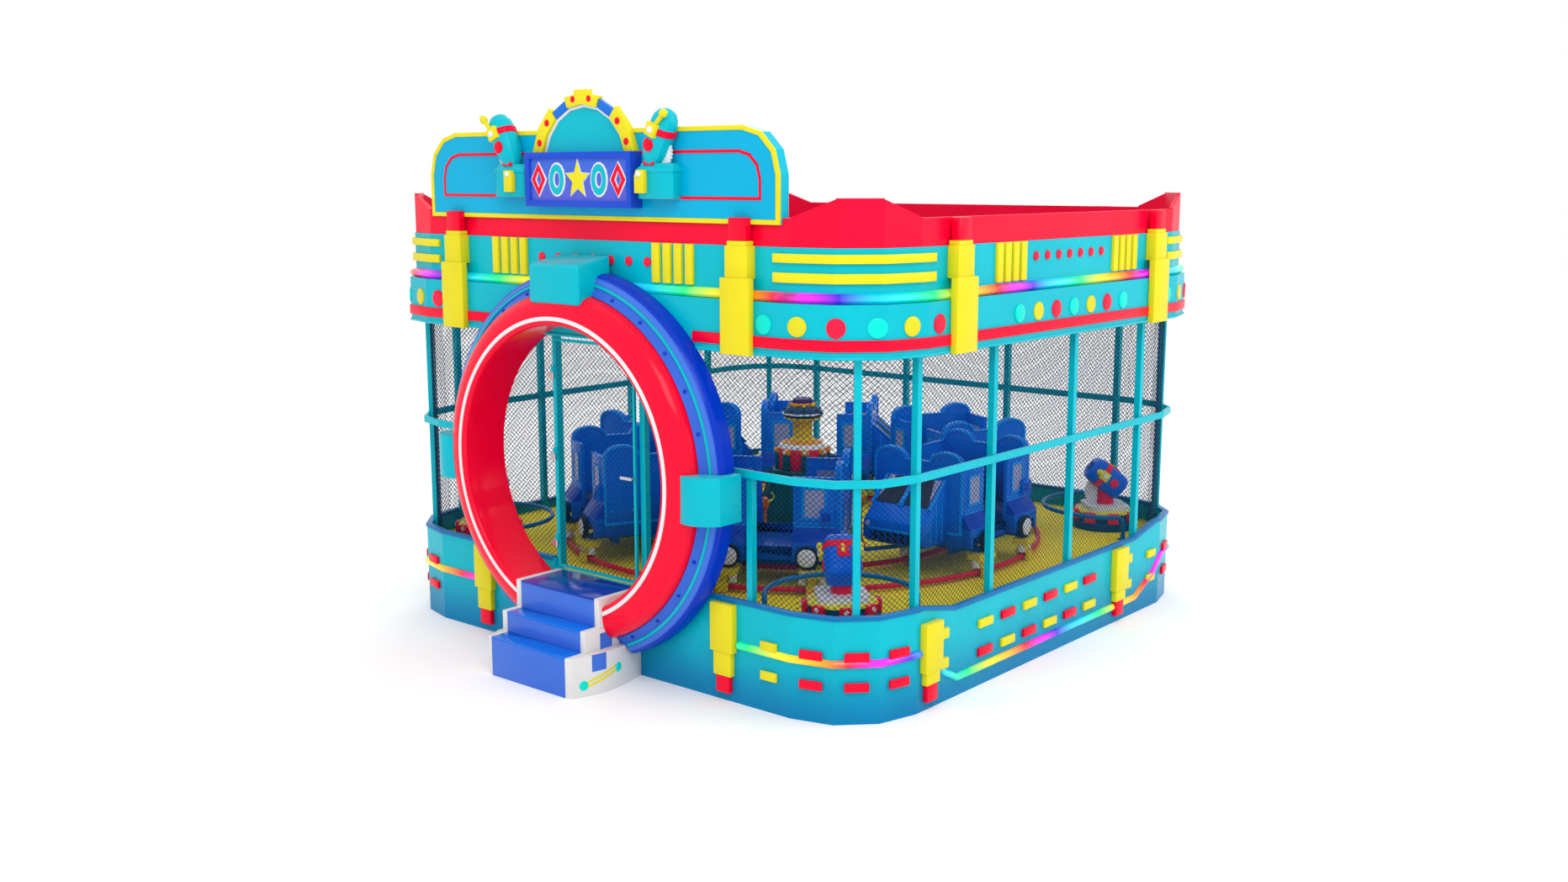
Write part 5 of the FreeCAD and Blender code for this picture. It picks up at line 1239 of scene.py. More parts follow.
# ==== Corner figures =================================================================================
# In each corner a toy rocket pack leans towards the ride, on a round dark drum with red brackets, a yellow
# plate and a white plinth. All are moulded plastic on a wooden core.
drum_teal = finish("dark teal drum", (0.0, 0.06, 0.16), roughness=0.3)
pack_blue = finish("blue rocket pack", (0.0, 0.12, 0.75), roughness=0.2, coat=0.5)
vent_dark = finish("dark vent", (0.008, 0.01, 0.03), roughness=0.5, coat=0.0)
drums, brackets, white_bits, plates, bodies, bands, ears, vents = [], [], [], [], [], [], [], []
DRUM_R, DRUM_H = 0.34, 0.17
PACK_TILT, PACK_Z, PACK_LENGTH = radians(38), 1.205, 0.43


def framed(corner, x_way, y_way, z_way, points):
    """Points given along three directions from a corner."""
    return [corner + x_way * a + y_way * b + z_way * c for a, b, c in points]


def bar_in(corner, ways, low, high):
    """A rectangular solid between two corners measured along three directions."""
    (a, b, c), (d, e, f) = low, high
    return swept([framed(corner, *ways, [(a, b, z), (d, b, z), (d, e, z), (a, e, z)]) for z in (c, f)])


for sx, sy in FIGURES:
    foot = Vector((sx * FIGURE_AT, sy * FIGURE_AT, DECK_TOP))
    inward = Vector((-sx, -sy, 0)).normalized()
    beside = up_by(1).cross(inward)
    start = atan2(inward.y, inward.x)
    drums.append(lathe([(DRUM_R, 0), (DRUM_R, 0.075), (DRUM_R - 0.012, 0.082)], foot, sides=48))
    drums.append(lathe([(DRUM_R - 0.03, 0.08), (DRUM_R - 0.03, DRUM_H)], foot, sides=8,
                       turn=start + pi / 8))
    plates.append(lathe([(0.315, DRUM_H), (0.325, DRUM_H + 0.006), (0.31, DRUM_H + 0.03),
                         (0, DRUM_H + 0.03)], foot, sides=8, turn=start + pi / 8))
    for k in range(8):
        way = Vector((cos(start + k * pi / 4), sin(start + k * pi / 4), 0))
        ways = (way, up_by(1).cross(way), up_by(1))
        brackets.append(bar_in(foot, ways, (0.265, -0.055, 0.085), (0.338, 0.055, DRUM_H + 0.022)))
        white_bits.append(lathe(dome(0.022, 0.014), foot + way * 0.337 + up_by(DRUM_H - 0.012), way, 16))
    ways = (inward, beside, up_by(1))
    white_bits.append(swept([framed(foot, *ways, [(r * cos(a), r * sin(a), z) for a, r in
                                                  ((pi / 4 + q * pi / 2 + t, 0.275 * s) for q in range(4)
                                                   for t, s in ((-0.16, 0.97), (0.0, 1.0), (0.16, 0.97)))])
                             for z in (DRUM_H + 0.03, DRUM_H + 0.078)]))
    middle = foot + up_by(PACK_Z - DECK_TOP + 0.02)
    axis = inward * cos(PACK_TILT) + up_by(1) * sin(PACK_TILT)
    back = axis.cross(beside)                     # square to the axis, out of the pack's upper, outer face
    back = back if back.z > 0 else -back

    def pack_ring(half_side, half_back, along):
        ring = []
        for k in range(28):
            a = 2 * pi * k / 28
            c, s = cos(a), sin(a)
            ring.append(middle + axis * along + beside * half_side * (abs(c) ** 0.55) * (1 if c > 0 else -1)
                        + back * half_back * (abs(s) ** 0.55) * (1 if s > 0 else -1))
        return ring
    shape = [(0.03, 0.0), (0.6, 0.002), (0.84, 0.02), (0.95, 0.05), (1.0, 0.1), (1.0, 0.3), (0.96, 0.36),
             (0.86, 0.4), (0.6, 0.425), (0.03, 0.43)]
    bodies.append(swept([pack_ring(0.16 * w, 0.138 * w, t - PACK_LENGTH / 2) for w, t in shape]))
    bands.append(swept([pack_ring(0.166, 0.144, t - PACK_LENGTH / 2)
                        for t in (0.262, 0.266, 0.318, 0.322)]))
    top_end = middle + axis * (PACK_LENGTH / 2 - 0.008)
    vents.append(lathe([(0.05, 0), (0.05, 0.012), (0.03, 0.012), (0.028, 0.006), (0, 0.006)], top_end, axis,
                       24))
    for side in (1, -1):
        ear_at = middle + axis * 0.075 + beside * side * 0.152
        ears.append(bar_in(ear_at, (beside * side, axis, back), (-0.01, -0.05, -0.05), (0.034, 0.05, 0.05)))
        ears.append(lathe([(0.03, 0.02), (0.036, 0.05), (0.02, 0.075), (0, 0.078)], ear_at + axis * 0.03,
                          (beside * side * 0.4 + axis).normalized(), 16))
        white_bits.append(lathe(dome(0.026, 0.014), ear_at + beside * side * 0.034, beside * side, 20))
        bands.append(lathe(dome(0.048, 0.014), middle - axis * 0.06 + beside * side * 0.156, beside * side,
                           24))
    badge_at = middle + back * 0.136 + axis * 0.02
    bands.append(bar_in(badge_at, (beside, axis, back), (-0.05, -0.09, -0.004), (0.05, 0.035, 0.012)))
    ears.append(bar_in(badge_at, (beside, axis, back), (-0.014, -0.05, 0.01), (0.014, 0.035, 0.018)))
    bands.append(lathe([(0.092, DRUM_H + 0.076), (0.086, DRUM_H + 0.3), (0, DRUM_H + 0.3)], foot, sides=32))
    saw_at = foot + inward * 0.08 + up_by(DRUM_H + 0.08)
    saw_edge = [(0.15 if k % 2 else 0.14, pi * k / 30) for k in range(31)]
    white_bits.append(swept([framed(saw_at, inward, up_by(1), beside, [(r * sin(a), 0.13 - r * cos(a), w)
                                    for r, a in saw_edge]) for w in (-0.014, 0.014)]))
piece("figure_drums", drums, drum_teal, slot="teal_plastic", bevel=0.004, stands_for=["figure_bases"])
piece("figure_brackets", brackets, red_paint, slot="red_plastic", bevel=0.006)
piece("figure_plates", plates, yellow_paint, slot="yellow_plastic", bevel=0.004)
piece("figure_white_parts", white_bits, white_plastic, slot="white_plastic")
piece("figure_packs", bodies, pack_blue, slot="blue_plastic", smooth=50, stands_for=["figure_rockets"])
piece("figure_bands", bands, red_paint, slot="red_plastic", bevel=0.003)
piece("figure_ears", ears, yellow_paint, slot="yellow_plastic", bevel=0.006)
piece("figure_vents", vents, vent_dark, slot="teal_plastic")


# ==== Centre tower ===================================================================================
# An eight-sided cone carries a red drum with dark brackets, a ribbed yellow column and a saucer with a
# domed cap. It hides the ride's supply cabinet and is bolted to the deck.
# The cone's teal darkens further towards the deck; that darkening is painted shade.
tower_teal_with_painted_shade = finish("dark teal cone with painted shade low down", (0.0, 0.085, 0.1), roughness=0.35, low=((0.0, 0.04, 0.04), 0.7, 1.2))
tower_orange = finish("orange trim", (0.82, 0.3, 0.0), roughness=0.25)
cap_dark = finish("dark cap", (0.05, 0.0, 0.11), roughness=0.2, coat=0.6)
rim_navy = finish("navy saucer", (0.0, 0.035, 0.1), roughness=0.25, coat=0.5)
column_yellow = finish("yellow column", (0.8, 0.52, 0.01), roughness=0.25)
OCTAGON = pi / 8
CONE_TOP, DRUM_TOP, COLLAR_TOP, COLUMN_TOP, SAUCER_Z = 1.39, 1.61, 1.69, 1.87, 1.975
origin = up_by(0)
cone_shapes = [lathe([(0.56, DECK_TOP), (0.545, DECK_TOP + 0.04), (0.33, CONE_TOP - 0.03),
                      (0.335, CONE_TOP - 0.028), (0.335, CONE_TOP), (0, CONE_TOP)], origin, sides=8,
                     turn=OCTAGON)]
for k in range(8):
    a = k * pi / 4 + OCTAGON
    low = Vector((0.535 * cos(a), 0.535 * sin(a), DECK_TOP + 0.05))
    high = Vector((0.325 * cos(a), 0.325 * sin(a), CONE_TOP - 0.03))
    cone_shapes.append(tube([low, high], 0.017, 8))
piece("tower_cone", cone_shapes, tower_teal_with_painted_shade, slot="teal_plastic", bevel=0.004, stands_for=["tower_base"])
piece("tower_drum_shell", [lathe([(0.262, CONE_TOP), (0.268, CONE_TOP + 0.012), (0.268, DRUM_TOP - 0.02),
                                  (0.262, DRUM_TOP), (0, DRUM_TOP)], origin, sides=8, turn=OCTAGON)],
      red_paint, slot="red_plastic", bevel=0.006, stands_for=["tower_drum"])
piece("tower_collar", [lathe([(0.258, DRUM_TOP), (0.262, DRUM_TOP + 0.01), (0.232, DRUM_TOP + 0.052),
                              (0, DRUM_TOP + 0.052)], origin, sides=8, turn=OCTAGON)], white_plastic,
      slot="white_plastic", bevel=0.003)
piece("tower_collar_top", [lathe([(0.23, DRUM_TOP + 0.05), (0.222, DRUM_TOP + 0.062),
                                  (0.12, COLLAR_TOP + 0.002), (0, COLLAR_TOP + 0.002)], origin, sides=8,
                                 turn=OCTAGON)], tower_orange, slot="yellow_plastic", bevel=0.003)
tower_bar = piece("tower_brackets", [block((0.235, -0.04, CONE_TOP + 0.005),
                                           (0.285, 0.04, DRUM_TOP - 0.045))], tower_teal_with_painted_shade,
                  slot="teal_plastic", bevel=0.006)
ringed(tower_bar, 8, tower_teal_with_painted_shade)
tower_tip = piece("tower_bracket_tips", [block((0.232, -0.043, DRUM_TOP - 0.05),
                                               (0.288, 0.043, DRUM_TOP + 0.004))], tower_orange,
                  slot="yellow_plastic", bevel=0.008)
ringed(tower_tip, 8, tower_orange)
tower_stud = piece("tower_studs", [lathe(dome(0.018, 0.014), (0.289, 0, DRUM_TOP - 0.02), (1, 0, 0), 16)],
                   white_plastic, slot="white_plastic")
ringed(tower_stud, 8, white_plastic)
flare = [(0.094, COLLAR_TOP), (0.094, COLUMN_TOP), (0.12, COLUMN_TOP + 0.012), (0.165, COLUMN_TOP + 0.036),
         (0.195, COLUMN_TOP + 0.05), (0.19, COLUMN_TOP + 0.06), (0, COLUMN_TOP + 0.062)]
piece("tower_column", [lathe(flare, origin, sides=48), lathe([(0.14, COLLAR_TOP),
                                                              (0.13, COLLAR_TOP + 0.018),
                                                              (0.1, COLLAR_TOP + 0.024)], origin,
                                                             sides=48)], column_yellow,
      slot="yellow_plastic", stands_for=["tower_top"])
column_rib = piece("tower_column_ribs", [tube([Vector((0.094, 0, COLLAR_TOP + 0.02)),
                                               Vector((0.094, 0, COLUMN_TOP))], 0.008, 8)], column_yellow,
                   slot="yellow_plastic")
ringed(column_rib, 16, column_yellow)
saucer = [(0.17, COLUMN_TOP + 0.058), (0.2, COLUMN_TOP + 0.066), (0.224, SAUCER_Z - 0.012),
          (0.225, SAUCER_Z + 0.004), (0.2, SAUCER_Z + 0.03), (0.15, SAUCER_Z + 0.07),
          (0.128, SAUCER_Z + 0.078), (0, SAUCER_Z + 0.08)]
piece("tower_saucer", [lathe(saucer, origin, sides=8, turn=OCTAGON)], rim_navy, slot="blue_plastic",
      bevel=0.006)
piece("tower_saucer_line", [lathe([(0.219, SAUCER_Z - 0.014), (0.2285, SAUCER_Z - 0.01),
                                   (0.2285, SAUCER_Z + 0.001), (0.221, SAUCER_Z + 0.006)], origin, sides=8,
                                  turn=OCTAGON)], white_plastic, slot="white_plastic")
saucer_bolt = piece("tower_saucer_bolts", [lathe(dome(0.014, 0.016), (0.183, 0, SAUCER_Z + 0.034),
                                                 (0.5, 0, 0.86), 12)], rim_navy, slot="blue_plastic")
ringed(saucer_bolt, 8, rim_navy)
piece("tower_orange_ring", [lathe([(0.128, SAUCER_Z + 0.076), (0.134, SAUCER_Z + 0.082),
                                   (0.134, SAUCER_Z + 0.098), (0.118, SAUCER_Z + 0.106),
                                   (0, SAUCER_Z + 0.106)], origin, sides=8, turn=OCTAGON)], tower_orange,
      slot="yellow_plastic", bevel=0.003)
ring_block = piece("tower_ring_blocks", [block((0.12, -0.016, SAUCER_Z + 0.07),
                                               (0.147, 0.016, SAUCER_Z + 0.1))], column_yellow,
                   slot="yellow_plastic", bevel=0.004)
ringed(ring_block, 8, column_yellow)
piece("tower_cap", [lathe([(0.112, SAUCER_Z + 0.104), (0.114, SAUCER_Z + 0.12), (0.1, SAUCER_Z + 0.143),
                           (0.07, SAUCER_Z + 0.155), (0.03, SAUCER_Z + 0.1595), (0, SAUCER_Z + 0.16)],
                          origin, sides=16)], cap_dark, slot="red_plastic", bevel=0.003)
aerial = [tube([Vector((s * 0.21, 0, SAUCER_Z + 0.012)), Vector((s * 0.262, 0, SAUCER_Z + 0.014))], 0.006,
               10) for s in (1, -1)]
aerial += [lathe([(0.012, -0.006), (0.015, 0), (0.012, 0.012), (0, 0.015)],
                 (s * 0.258, 0, SAUCER_Z + 0.014), (s, 0, 0), 12) for s in (1, -1)]
piece("tower_aerials", aerial, rim_navy, slot="blue_plastic")


# ==== Claw posts =====================================================================================
# Six orange posts on bolted feet stand round the tower, each with three yellow claws at its top.
CLAW_R, CLAW_TOP, CLAW_START = 0.96, 1.31, radians(-14.5)
post_orange = finish("orange claw post", (0.75, 0.14, 0.0), roughness=0.3)
at_post = Vector((CLAW_R, 0, 0))
stem = [(0.085, DECK_TOP), (0.085, DECK_TOP + 0.03), (0.066, DECK_TOP + 0.05), (0.044, DECK_TOP + 0.11),
        (0.034, DECK_TOP + 0.2), (0.031, CLAW_TOP - 0.16), (0, CLAW_TOP - 0.16)]
cap = [(0.04, CLAW_TOP - 0.165), (0.052, CLAW_TOP - 0.155), (0.052, CLAW_TOP - 0.07),
       (0.042, CLAW_TOP - 0.055), (0, CLAW_TOP - 0.054)]


def spun(shape, angle):
    """The same shape turned about the room's centre line."""
    turn = Matrix.Rotation(angle, 3, "Z")
    return [turn @ Vector(v) for v in shape[0]], shape[1]


post_shapes = [lathe(stem, at_post, sides=8, turn=OCTAGON), lathe(cap, at_post, sides=8, turn=OCTAGON)]
orange_posts = piece("claw_post_stems", [spun(s, CLAW_START) for s in post_shapes], post_orange,
                     slot="yellow_paint", bevel=0.003, stands_for=["claw_posts"])
ringed(orange_posts, 6, post_orange)
claw_shapes = []
for k in range(3):
    way = Vector((cos(k * 2 * pi / 3), sin(k * 2 * pi / 3), 0))
    aside = up_by(1).cross(way)
    bend = [at_post + way * r + up_by(CLAW_TOP - 0.08 + z) for r, z in
            ((0.03, -0.02), (0.075, -0.01), (0.105, 0.02), (0.1, 0.055), (0.075, 0.076))]
    rings = []
    for n, spot in enumerate(bend):
        wide, deep = 0.02 - 0.0025 * n, 0.014 - 0.002 * n
        rings.append([spot + aside * (wide * a) + up_by(deep * b) + way * (deep * b * 0.5)
                      for a, b in ((-1, -1), (1, -1), (1, 1), (-1, 1))])
    claw_shapes.append(swept(rings))
yellow_claws = piece("claw_hooks", [spun(s, CLAW_START) for s in claw_shapes], yellow_paint,
                     slot="yellow_plastic", bevel=0.003)
ringed(yellow_claws, 6, yellow_paint)
foot_bolt = piece("claw_foot_bolts", [
    spun(lathe(bolt_profile, at_post + Vector((0.066 * cos(a), 0.066 * sin(a), DECK_TOP + 0.03)), sides=6),
         CLAW_START)
    for a in (pi / 4, 3 * pi / 4, 5 * pi / 4, 7 * pi / 4)], pin_steel, slot="pin_steel")
ringed(foot_bolt, 6, pin_steel)


# ==== Car bodies =====================================================================================
# Six moulded blue cars in a ring, one behind the other. Everything is drawn for one car standing on the
# x axis and heading towards -y; one set of shapes is then copied round the ride.
CAR_START = radians(-58.2)
OUT_X, IN_X, MID_X, CAR_FRONT, CAR_REAR, PANEL = 2.315, 1.335, 1.825, -0.60, 0.64, 0.04
DOOR_REACH, PILLAR_TOP, PANE_SPAN = 0.215, 1.74, (1.386, 1.634)
BOTTOM, PAN_TOP, SILL, SHOULDER, HUMP = 0.98, 1.02, 1.10, 1.77, 0.105
# Below the waist the car blue fades darker towards the bottom; that fade is painted shade.
car_blue_with_painted_shade = finish("car blue", (0.0, 0.16, 0.8), roughness=0.2, coat=0.5, uneven=0.06, dust=0.03,
                  low=((0.0, 0.08, 0.5), 0.98, 1.32))
rim_blue = finish("light blue rim", (0.0, 0.3, 0.95), roughness=0.2)
# Navy for the grille slats and the side handle; on the sloped shoulders over the wheels the navy is painted
# shade.
navy_and_painted_shade = finish("navy trim and painted shoulder shade", (0.0, 0.05, 0.5), roughness=0.3, coat=0.4)
pane_lavender = finish("lavender pane", (0.33, 0.36, 0.62), roughness=0.15, coat=0.6)
grille_dark = finish("dark grille", (0.006, 0.01, 0.035), roughness=0.35, coat=0.2)


def round_the_ride(made, material):
    """The car drawn on the x axis becomes six."""
    turn = Matrix.Rotation(CAR_START, 4, "Z")
    made.data.transform(turn)
    return ringed(made, 6, material)


def box_y(x, y, z):
    """A rectangular solid given as three spans."""
    return block((x[0], y[0], z[0]), (x[1], y[1], z[1]))


def slab_y(outline, y_low, y_high):
    """A plate with an (x, z) outline, between two distances along the car."""
    return swept([[Vector((x, y, z)) for x, z in outline] for y in (y_low, y_high)])


def slab_x(outline, x_low, x_high):
    """A plate with a (y, z) outline, between two distances across the car."""
    return swept([[Vector((x, y, z)) for y, z in outline] for x in (x_low, x_high)])


def rectangle_at(middle, half, low, high):
    """Corners of an upright rectangle, (along, height)."""
    return [(middle - half, low), (middle + half, low), (middle + half, high), (middle - half, high)]


def hump_line(inset=0.0, low=BOTTOM):
    """The outline of an end panel: two humps side by side over a straight shoulder."""
    top = []
    for middle in (0.305, -0.305):
        for k in range(13):
            a = pi * k / 12
            top.append((MID_X + middle + (0.18 - inset) * cos(a),
                        SHOULDER + (HUMP - inset * 0.6) * sin(a) - inset * 0.4))
    edge = [(IN_X + inset, SHOULDER - 0.012 - inset * 0.4), (IN_X + inset, low + inset),
            (OUT_X - inset, low + inset), (OUT_X - inset, SHOULDER - 0.012 - inset * 0.4)]
    return top + edge


def ring_y(outer, inner, y_low, y_high):
    """A rim between two outlines with as many points, standing along y."""
    return swept([[Vector((x, y, z)) for (x, z), y in ((a, y_low), (a, y_high), (b, y_high), (b, y_low))]
                  for a, b in zip(outer, inner)], closed=True)


rims, shells, panes, navy_parts_and_painted_shade, grilles = [], [], [], [], []
for y_out, y_in in ((CAR_REAR, CAR_REAR - PANEL), (CAR_FRONT, CAR_FRONT + PANEL)):
    low_y, high_y = min(y_out, y_in), max(y_out, y_in)
    shells.append(slab_y(hump_line(), low_y, high_y))
    for face in (y_out, y_in):
        way = 1 if face == high_y else -1
        rims.append(ring_y(hump_line(0.0, SILL), hump_line(0.026, SILL), min(face, face + way * 0.01),
                           max(face, face + way * 0.01)))
# side walls: belt groove, doorway pillar and a shelf along the sill
WAIST = 1.32
for x_out, x_in in ((OUT_X, OUT_X - PANEL), (IN_X, IN_X + PANEL)):
    low_x, high_x = min(x_out, x_in), max(x_out, x_in)
    out_way = 1 if x_out > x_in else -1
    for side in (1, -1):
        end = CAR_REAR - PANEL if side > 0 else -CAR_FRONT - PANEL
        near, far = side * DOOR_REACH, side * end
        y_low, y_high = min(near, far), max(near, far)
        shells.append(box_y((low_x, high_x), (y_low, y_high), (SILL, PILLAR_TOP)))
        face = x_out
        frame_out = (min(face, face + out_way * 0.012), max(face, face + out_way * 0.012))
        middle = (y_low + y_high) / 2
        opening = [rectangle_at(middle, half, 1.36 + lift, 1.66 - lift) for half,
                   lift in ((0.115, 0), (0.091, 0.024))]
        x_a, x_b = frame_out
        rims.append(swept([[Vector((x, y, z)) for (y, z), x in ((a, x_a), (a, x_b), (b, x_b), (b, x_a))]
                           for a, b in zip(*opening)], closed=True))
        pane_x = (min(face, face + out_way * 0.004), max(face, face + out_way * 0.004))
        panes.append(box_y(pane_x, (middle - 0.088, middle + 0.088), PANE_SPAN))
        panes.append(box_y((min(x_in, x_in - out_way * 0.004), max(x_in, x_in - out_way * 0.004)),
                           (middle - 0.088, middle + 0.088), PANE_SPAN))
        groove = (min(face, face + out_way * 0.006), max(face, face + out_way * 0.006))
        rims.append(box_y(groove, (y_low, y_high), (WAIST - 0.028, WAIST - 0.014)))
        rims.append(box_y(groove, (y_low, y_high), (WAIST + 0.004, WAIST + 0.016)))
    # door sill and side floor skirt
    shells.append(box_y((low_x, high_x), (CAR_FRONT + PANEL, CAR_REAR - PANEL), (BOTTOM, SILL)))
    for cap_low, cap_high in ((CAR_FRONT + PANEL, -DOOR_REACH), (DOOR_REACH, CAR_REAR - PANEL)):
        shells.append(box_y((low_x - 0.004, high_x + 0.004), (cap_low, cap_high), (1.738, 1.752)))
shells.append(box_y((IN_X + PANEL, OUT_X - PANEL), (CAR_FRONT + PANEL, CAR_REAR - PANEL),
                    (BOTTOM, PAN_TOP)))
# the lower body flares out over the wheels, with a sloped shoulder painted navy; the navy there is painted
# shade on the blue moulding
for x_body, x_flare in ((OUT_X, OUT_X + 0.1), (IN_X, IN_X - 0.1)):
    for side, reach_y in ((1, CAR_REAR), (-1, -CAR_FRONT)):
        y_low, y_high = sorted((side * DOOR_REACH, side * reach_y))
        shoulder = [(x_flare, 1.168), (x_body, 1.30), (x_body, 1.17)]
        shells.append(slab_y([(x_body, 1.172), (x_flare, 1.172), (x_flare, 1.085),
                              (x_flare - (x_flare - x_body) * 0.3, 1.085), (x_body, 1.085)], y_low, y_high))
        navy_parts_and_painted_shade.append(slab_y(shoulder, y_low, y_high))
        for y_a, y_b in ((y_low, y_low + 0.05), (y_high - 0.05, y_high)):
            shells.append(slab_y([(x_body, 0.99), (x_flare, 0.99), (x_flare, 1.09), (x_body, 1.09)], y_a,
                                 y_b))

# nose: faceted hood with two slanted dark windscreen halves and a blue ridge between them
NOSE_X = (1.49, 2.16)
NOSE_LINE = [(CAR_FRONT + 0.004, BOTTOM + 0.05), (-1.0, BOTTOM + 0.05), (-1.04, BOTTOM + 0.09),
             (-1.04, 1.2), (-1.03, 1.25), (-0.98, 1.30), (-0.908, 1.36), (CAR_FRONT + 0.004, 1.62)]


def nose_ring(x, narrow):
    """The nose's side outline; farther out it is shorter and lower."""
    return [Vector((x, y + (0.028 if y < -0.9 else 0.0) * narrow, z - (0.022 * narrow if z > 1.2 else 0)))
            for y, z in NOSE_LINE]


shells.append(swept([nose_ring(NOSE_X[0], 1), nose_ring(NOSE_X[0] + 0.04, 0), nose_ring(MID_X, 0),
                     nose_ring(NOSE_X[1] - 0.04, 0), nose_ring(NOSE_X[1], 1)]))
SLANT = (Vector((0, CAR_FRONT - 0.012, 1.615)), Vector((0, -0.9, 1.366)))
along_slant = (SLANT[1] - SLANT[0]).normalized()
off_slant = Vector((0, along_slant.z, -along_slant.y))
off_slant = off_slant if off_slant.z > 0 else -off_slant


def on_slant(x, share, lift):
    return Vector((x, 0, 0)) + SLANT[0].lerp(SLANT[1], share) + off_slant * lift


def slant_plate(corners, lift):
    """A thin plate on the windscreen's slope; corners are (x, share down the slope)."""
    return swept([[on_slant(x, s, h) for x, s in corners] for h in (-0.006, lift)])


for left, right in ((NOSE_X[0] + 0.05, MID_X - 0.03), (MID_X + 0.03, NOSE_X[1] - 0.05)):
    outer_side = left if left < MID_X - 0.2 else right
    shift = 0.075 if outer_side == left else -0.075
    grilles.append(slant_plate([(left, 0.06), (right, 0.06), (right, 0.92), (left, 0.92)], 0.006))
    panes.append(slant_plate([(outer_side, 0.06), (outer_side + shift, 0.06), (outer_side, 0.8)], 0.009))
rims.append(slant_plate([(MID_X - 0.022, 0.02), (MID_X + 0.022, 0.02), (MID_X + 0.022, 0.97),
                         (MID_X - 0.022, 0.97)], 0.022))
for across in (NOSE_X[0] + 0.02, NOSE_X[1] - 0.02):
    rims.append(slant_plate([(across - 0.014, 0.02), (across + 0.014, 0.02), (across + 0.014, 0.97),
                             (across - 0.014, 0.97)], 0.014))
for y_step in (-0.70, -0.80, -0.90):    # panel lines on the nose's sides
    top = 1.62 - (CAR_FRONT - y_step) * 0.84
    for x_side, way in ((NOSE_X[0], -1), (NOSE_X[1], 1)):
        rims.append(box_y(sorted((x_side, x_side + way * 0.005)), (y_step - 0.006, y_step + 0.006),
                          (1.05, top - 0.03)))
grilles.append(box_y((1.6, 2.05), (-1.052, -1.03), (1.06, 1.15)))
rims.append(box_y((1.57, 2.08), (-1.049, -1.03), (1.16, 1.178)))
for k in range(6):
    navy_parts_and_painted_shade.append(box_y((1.61 + 0.074 * k, 1.628 + 0.074 * k), (-1.058, -1.045), (1.065, 1.145)))
for x_lamp in (1.56, 2.09):
    panes.append(lathe(dome(0.028, 0.014), (x_lamp, -1.042, 1.21), (0, -1, 0), 20))
# small box and handle on the rear outer side, and the row of bumper studs
shells.append(box_y((OUT_X, OUT_X + 0.05), (0.46, 0.58), (1.33, 1.47)))
navy_parts_and_painted_shade.append(box_y((OUT_X + 0.048, OUT_X + 0.056), (0.48, 0.56), (1.36, 1.44)))
car_studs = [lathe(dome(0.014, 0.01), (x, y, 1.235), (0, 1 if y > 0 else -1, 0), 12)
             for x in (1.42, 1.62, 2.03, 2.23) for y in (CAR_REAR,)]

round_the_ride(piece("car_shells", shells, car_blue_with_painted_shade, body="ride", slot="blue_plastic", bevel=0.005,
                     stands_for=["car_%d_shell" % n for n in range(1, 7)]), car_blue_with_painted_shade)
round_the_ride(piece("car_rims", rims, rim_blue, body="ride", slot="sky_plastic", bevel=0.002), rim_blue)
round_the_ride(piece("car_shoulders", navy_parts_and_painted_shade, navy_and_painted_shade, body="ride", slot="blue_plastic",
                     bevel=0.003), navy_and_painted_shade)
round_the_ride(piece("car_panes", panes, pane_lavender, body="ride", slot="window_sheet",
                     stands_for=["car_windows"]), pane_lavender)
round_the_ride(piece("car_grilles", grilles, grille_dark, body="ride", slot="window_sheet"), grille_dark)
round_the_ride(piece("car_studs", car_studs, rim_blue, body="ride", slot="sky_plastic"), rim_blue)


# ==== Seats ==========================================================================================
# Two moulded benches per car, back to back with the end panels, with a rolled front edge and a low lip.
seat_navy = finish("navy seat plastic", (0.008, 0.03, 0.16), roughness=0.35, coat=0.25, dust=0.1)
SEAT_X, SEAT_TOP = (1.379, 2.271), 1.20
bench = []
for sign in (1, -1):
    near, far = 0.256, 0.556
    side_view = [(near, PAN_TOP), (near, SEAT_TOP - 0.04), (near + 0.012, SEAT_TOP - 0.012),
                 (near + 0.04, SEAT_TOP), (near + 0.1, SEAT_TOP - 0.01), (far - 0.05, SEAT_TOP - 0.018),
                 (far, SEAT_TOP), (far, PAN_TOP)]
    bench.append(slab_x([(sign * y, z) for y, z in side_view], *SEAT_X))
    bench.append(box_y((MID_X - 0.014, MID_X + 0.014), sorted((sign * (near + 0.05), sign * far)),
                       (SEAT_TOP - 0.03, SEAT_TOP + 0.012)))
round_the_ride(piece("seat_benches", bench, seat_navy, body="ride", slot="seat_plastic", bevel=0.008,
                     stands_for=["car_seats"]), seat_navy)


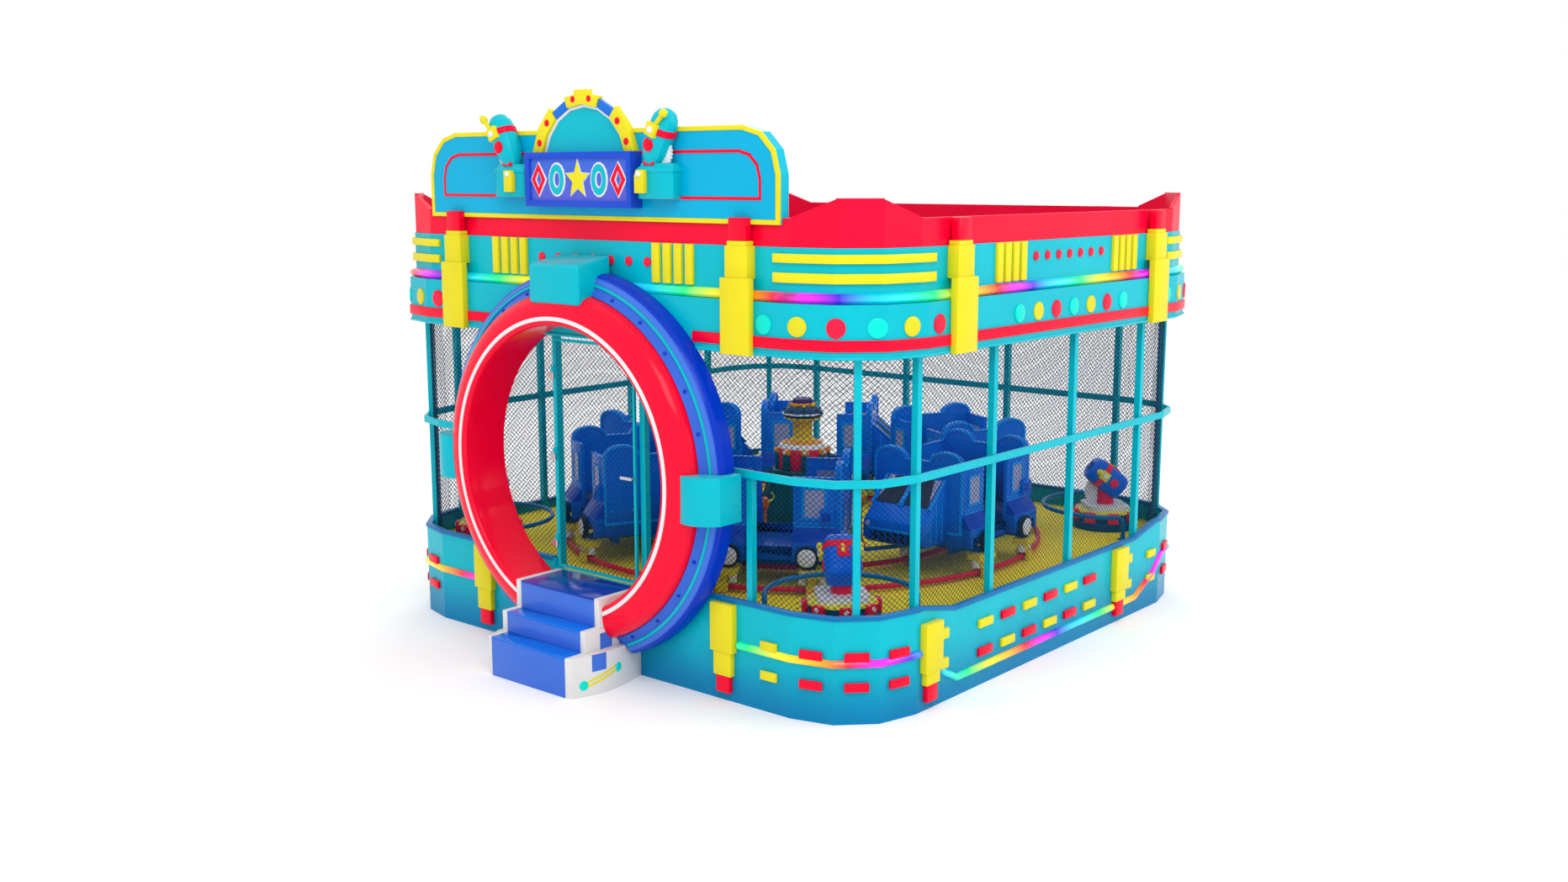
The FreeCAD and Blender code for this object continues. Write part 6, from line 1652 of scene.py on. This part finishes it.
# ==== Wheels =========================================================================================
# Free-turning dress wheels at each car's corners: a black tyre with a tread and a white domed disc,
# each pair on its own through-axle.
tyre_black = finish("black tyre", (0.012, 0.012, 0.014), roughness=0.6, coat=0.0, uneven=0.15)
disc_white = finish("white wheel disc", (0.7, 0.71, 0.74), roughness=0.25)
WHEEL_R, AXLE_Z, AXLE_Y = 0.105, 1.044, 0.356
WHEEL_X = ((2.446, 1), (1.204, -1))
tyre_section = [(0.052, -0.024), (0.092, -0.025), (WHEEL_R, -0.016), (WHEEL_R, 0.016), (0.092, 0.025),
                (0.052, 0.024)]
disc_section = [(0, 0.034), (0.04, 0.032), (0.068, 0.026), (0.082, 0.02), (0.086, 0.014), (0.086, 0)]
for number in range(6):
    turn = CAR_START + number * pi / 3
    for axle, y_axle in (("front", -AXLE_Y), ("rear", AXLE_Y)):
        tyres, discs, shaft = [], [], []
        for x_wheel, way in WHEEL_X:
            centre = Vector((x_wheel, y_axle, AXLE_Z))
            tyres.append(lathe(tyre_section, centre, (way, 0, 0), 40))
            for k in range(20):
                a = 2 * pi * k / 20
                up = Vector((0, cos(a), sin(a)))
                ways = (Vector((1, 0, 0)), Vector((0, -sin(a), cos(a))), up)
                tyres.append(bar_in(centre + up * (WHEEL_R - 0.004), ways, (-0.013, -0.006, 0),
                                    (0.013, 0.006, 0.006)))
            discs.append(lathe(disc_section[::-1], centre + Vector((way * 0.006, 0, 0)),
                               (way, 0, 0), 32))
            for k in range(5):
                a = 2 * pi * k / 5
                discs.append(lathe(dome(0.006, 0.006),
                                   centre + Vector((way * 0.035, 0.03 * cos(a), 0.03 * sin(a))),
                                   (way, 0, 0), 10))
        shaft.append(lathe([(0.012, 0), (0.012, 1.2), (0, 1.2)], (1.225, y_axle, AXLE_Z), (1, 0, 0), 16))
        body = "car_%d_%s_axle" % (number + 1, axle)
        for part_name, shapes, paint, part_slot, stands in (
                ("tyres", tyres, tyre_black, "tyre_black", ["car_%d_%s_wheels" % (number + 1, axle)]),
                ("discs", discs, disc_white, "white_plastic", []),
                ("shaft", shaft, pin_steel, "pin_steel", [])):
            piece("car_%d_%s_%s" % (number + 1, axle, part_name), [spun(s, turn) for s in shapes], paint,
                         body=body, slot=part_slot, stands_for=stands)


# ==== Chassis, motors and bogies =====================================================================
# Blue box-section beams under each car, drawn together by bars; a geared motor; and four yellow blocks
# per car that sit over the rails on white rollers.
chassis_blue = finish("chassis blue", (0.0, 0.07, 0.32), roughness=0.35)
dress("car_chassis", chassis_blue)
motor_grey = finish("motor grey", (0.13, 0.14, 0.16), roughness=0.35, metallic=0.3)
dress("drive_motors", motor_grey)
bogie_yellow = finish("yellow bogie block", (0.74, 0.6, 0.01), roughness=0.3)
dress("bogie_yokes", bogie_yellow)
roller_white = finish("white roller", (0.68, 0.69, 0.71), roughness=0.4)
dress("bogie_rollers", roller_white)
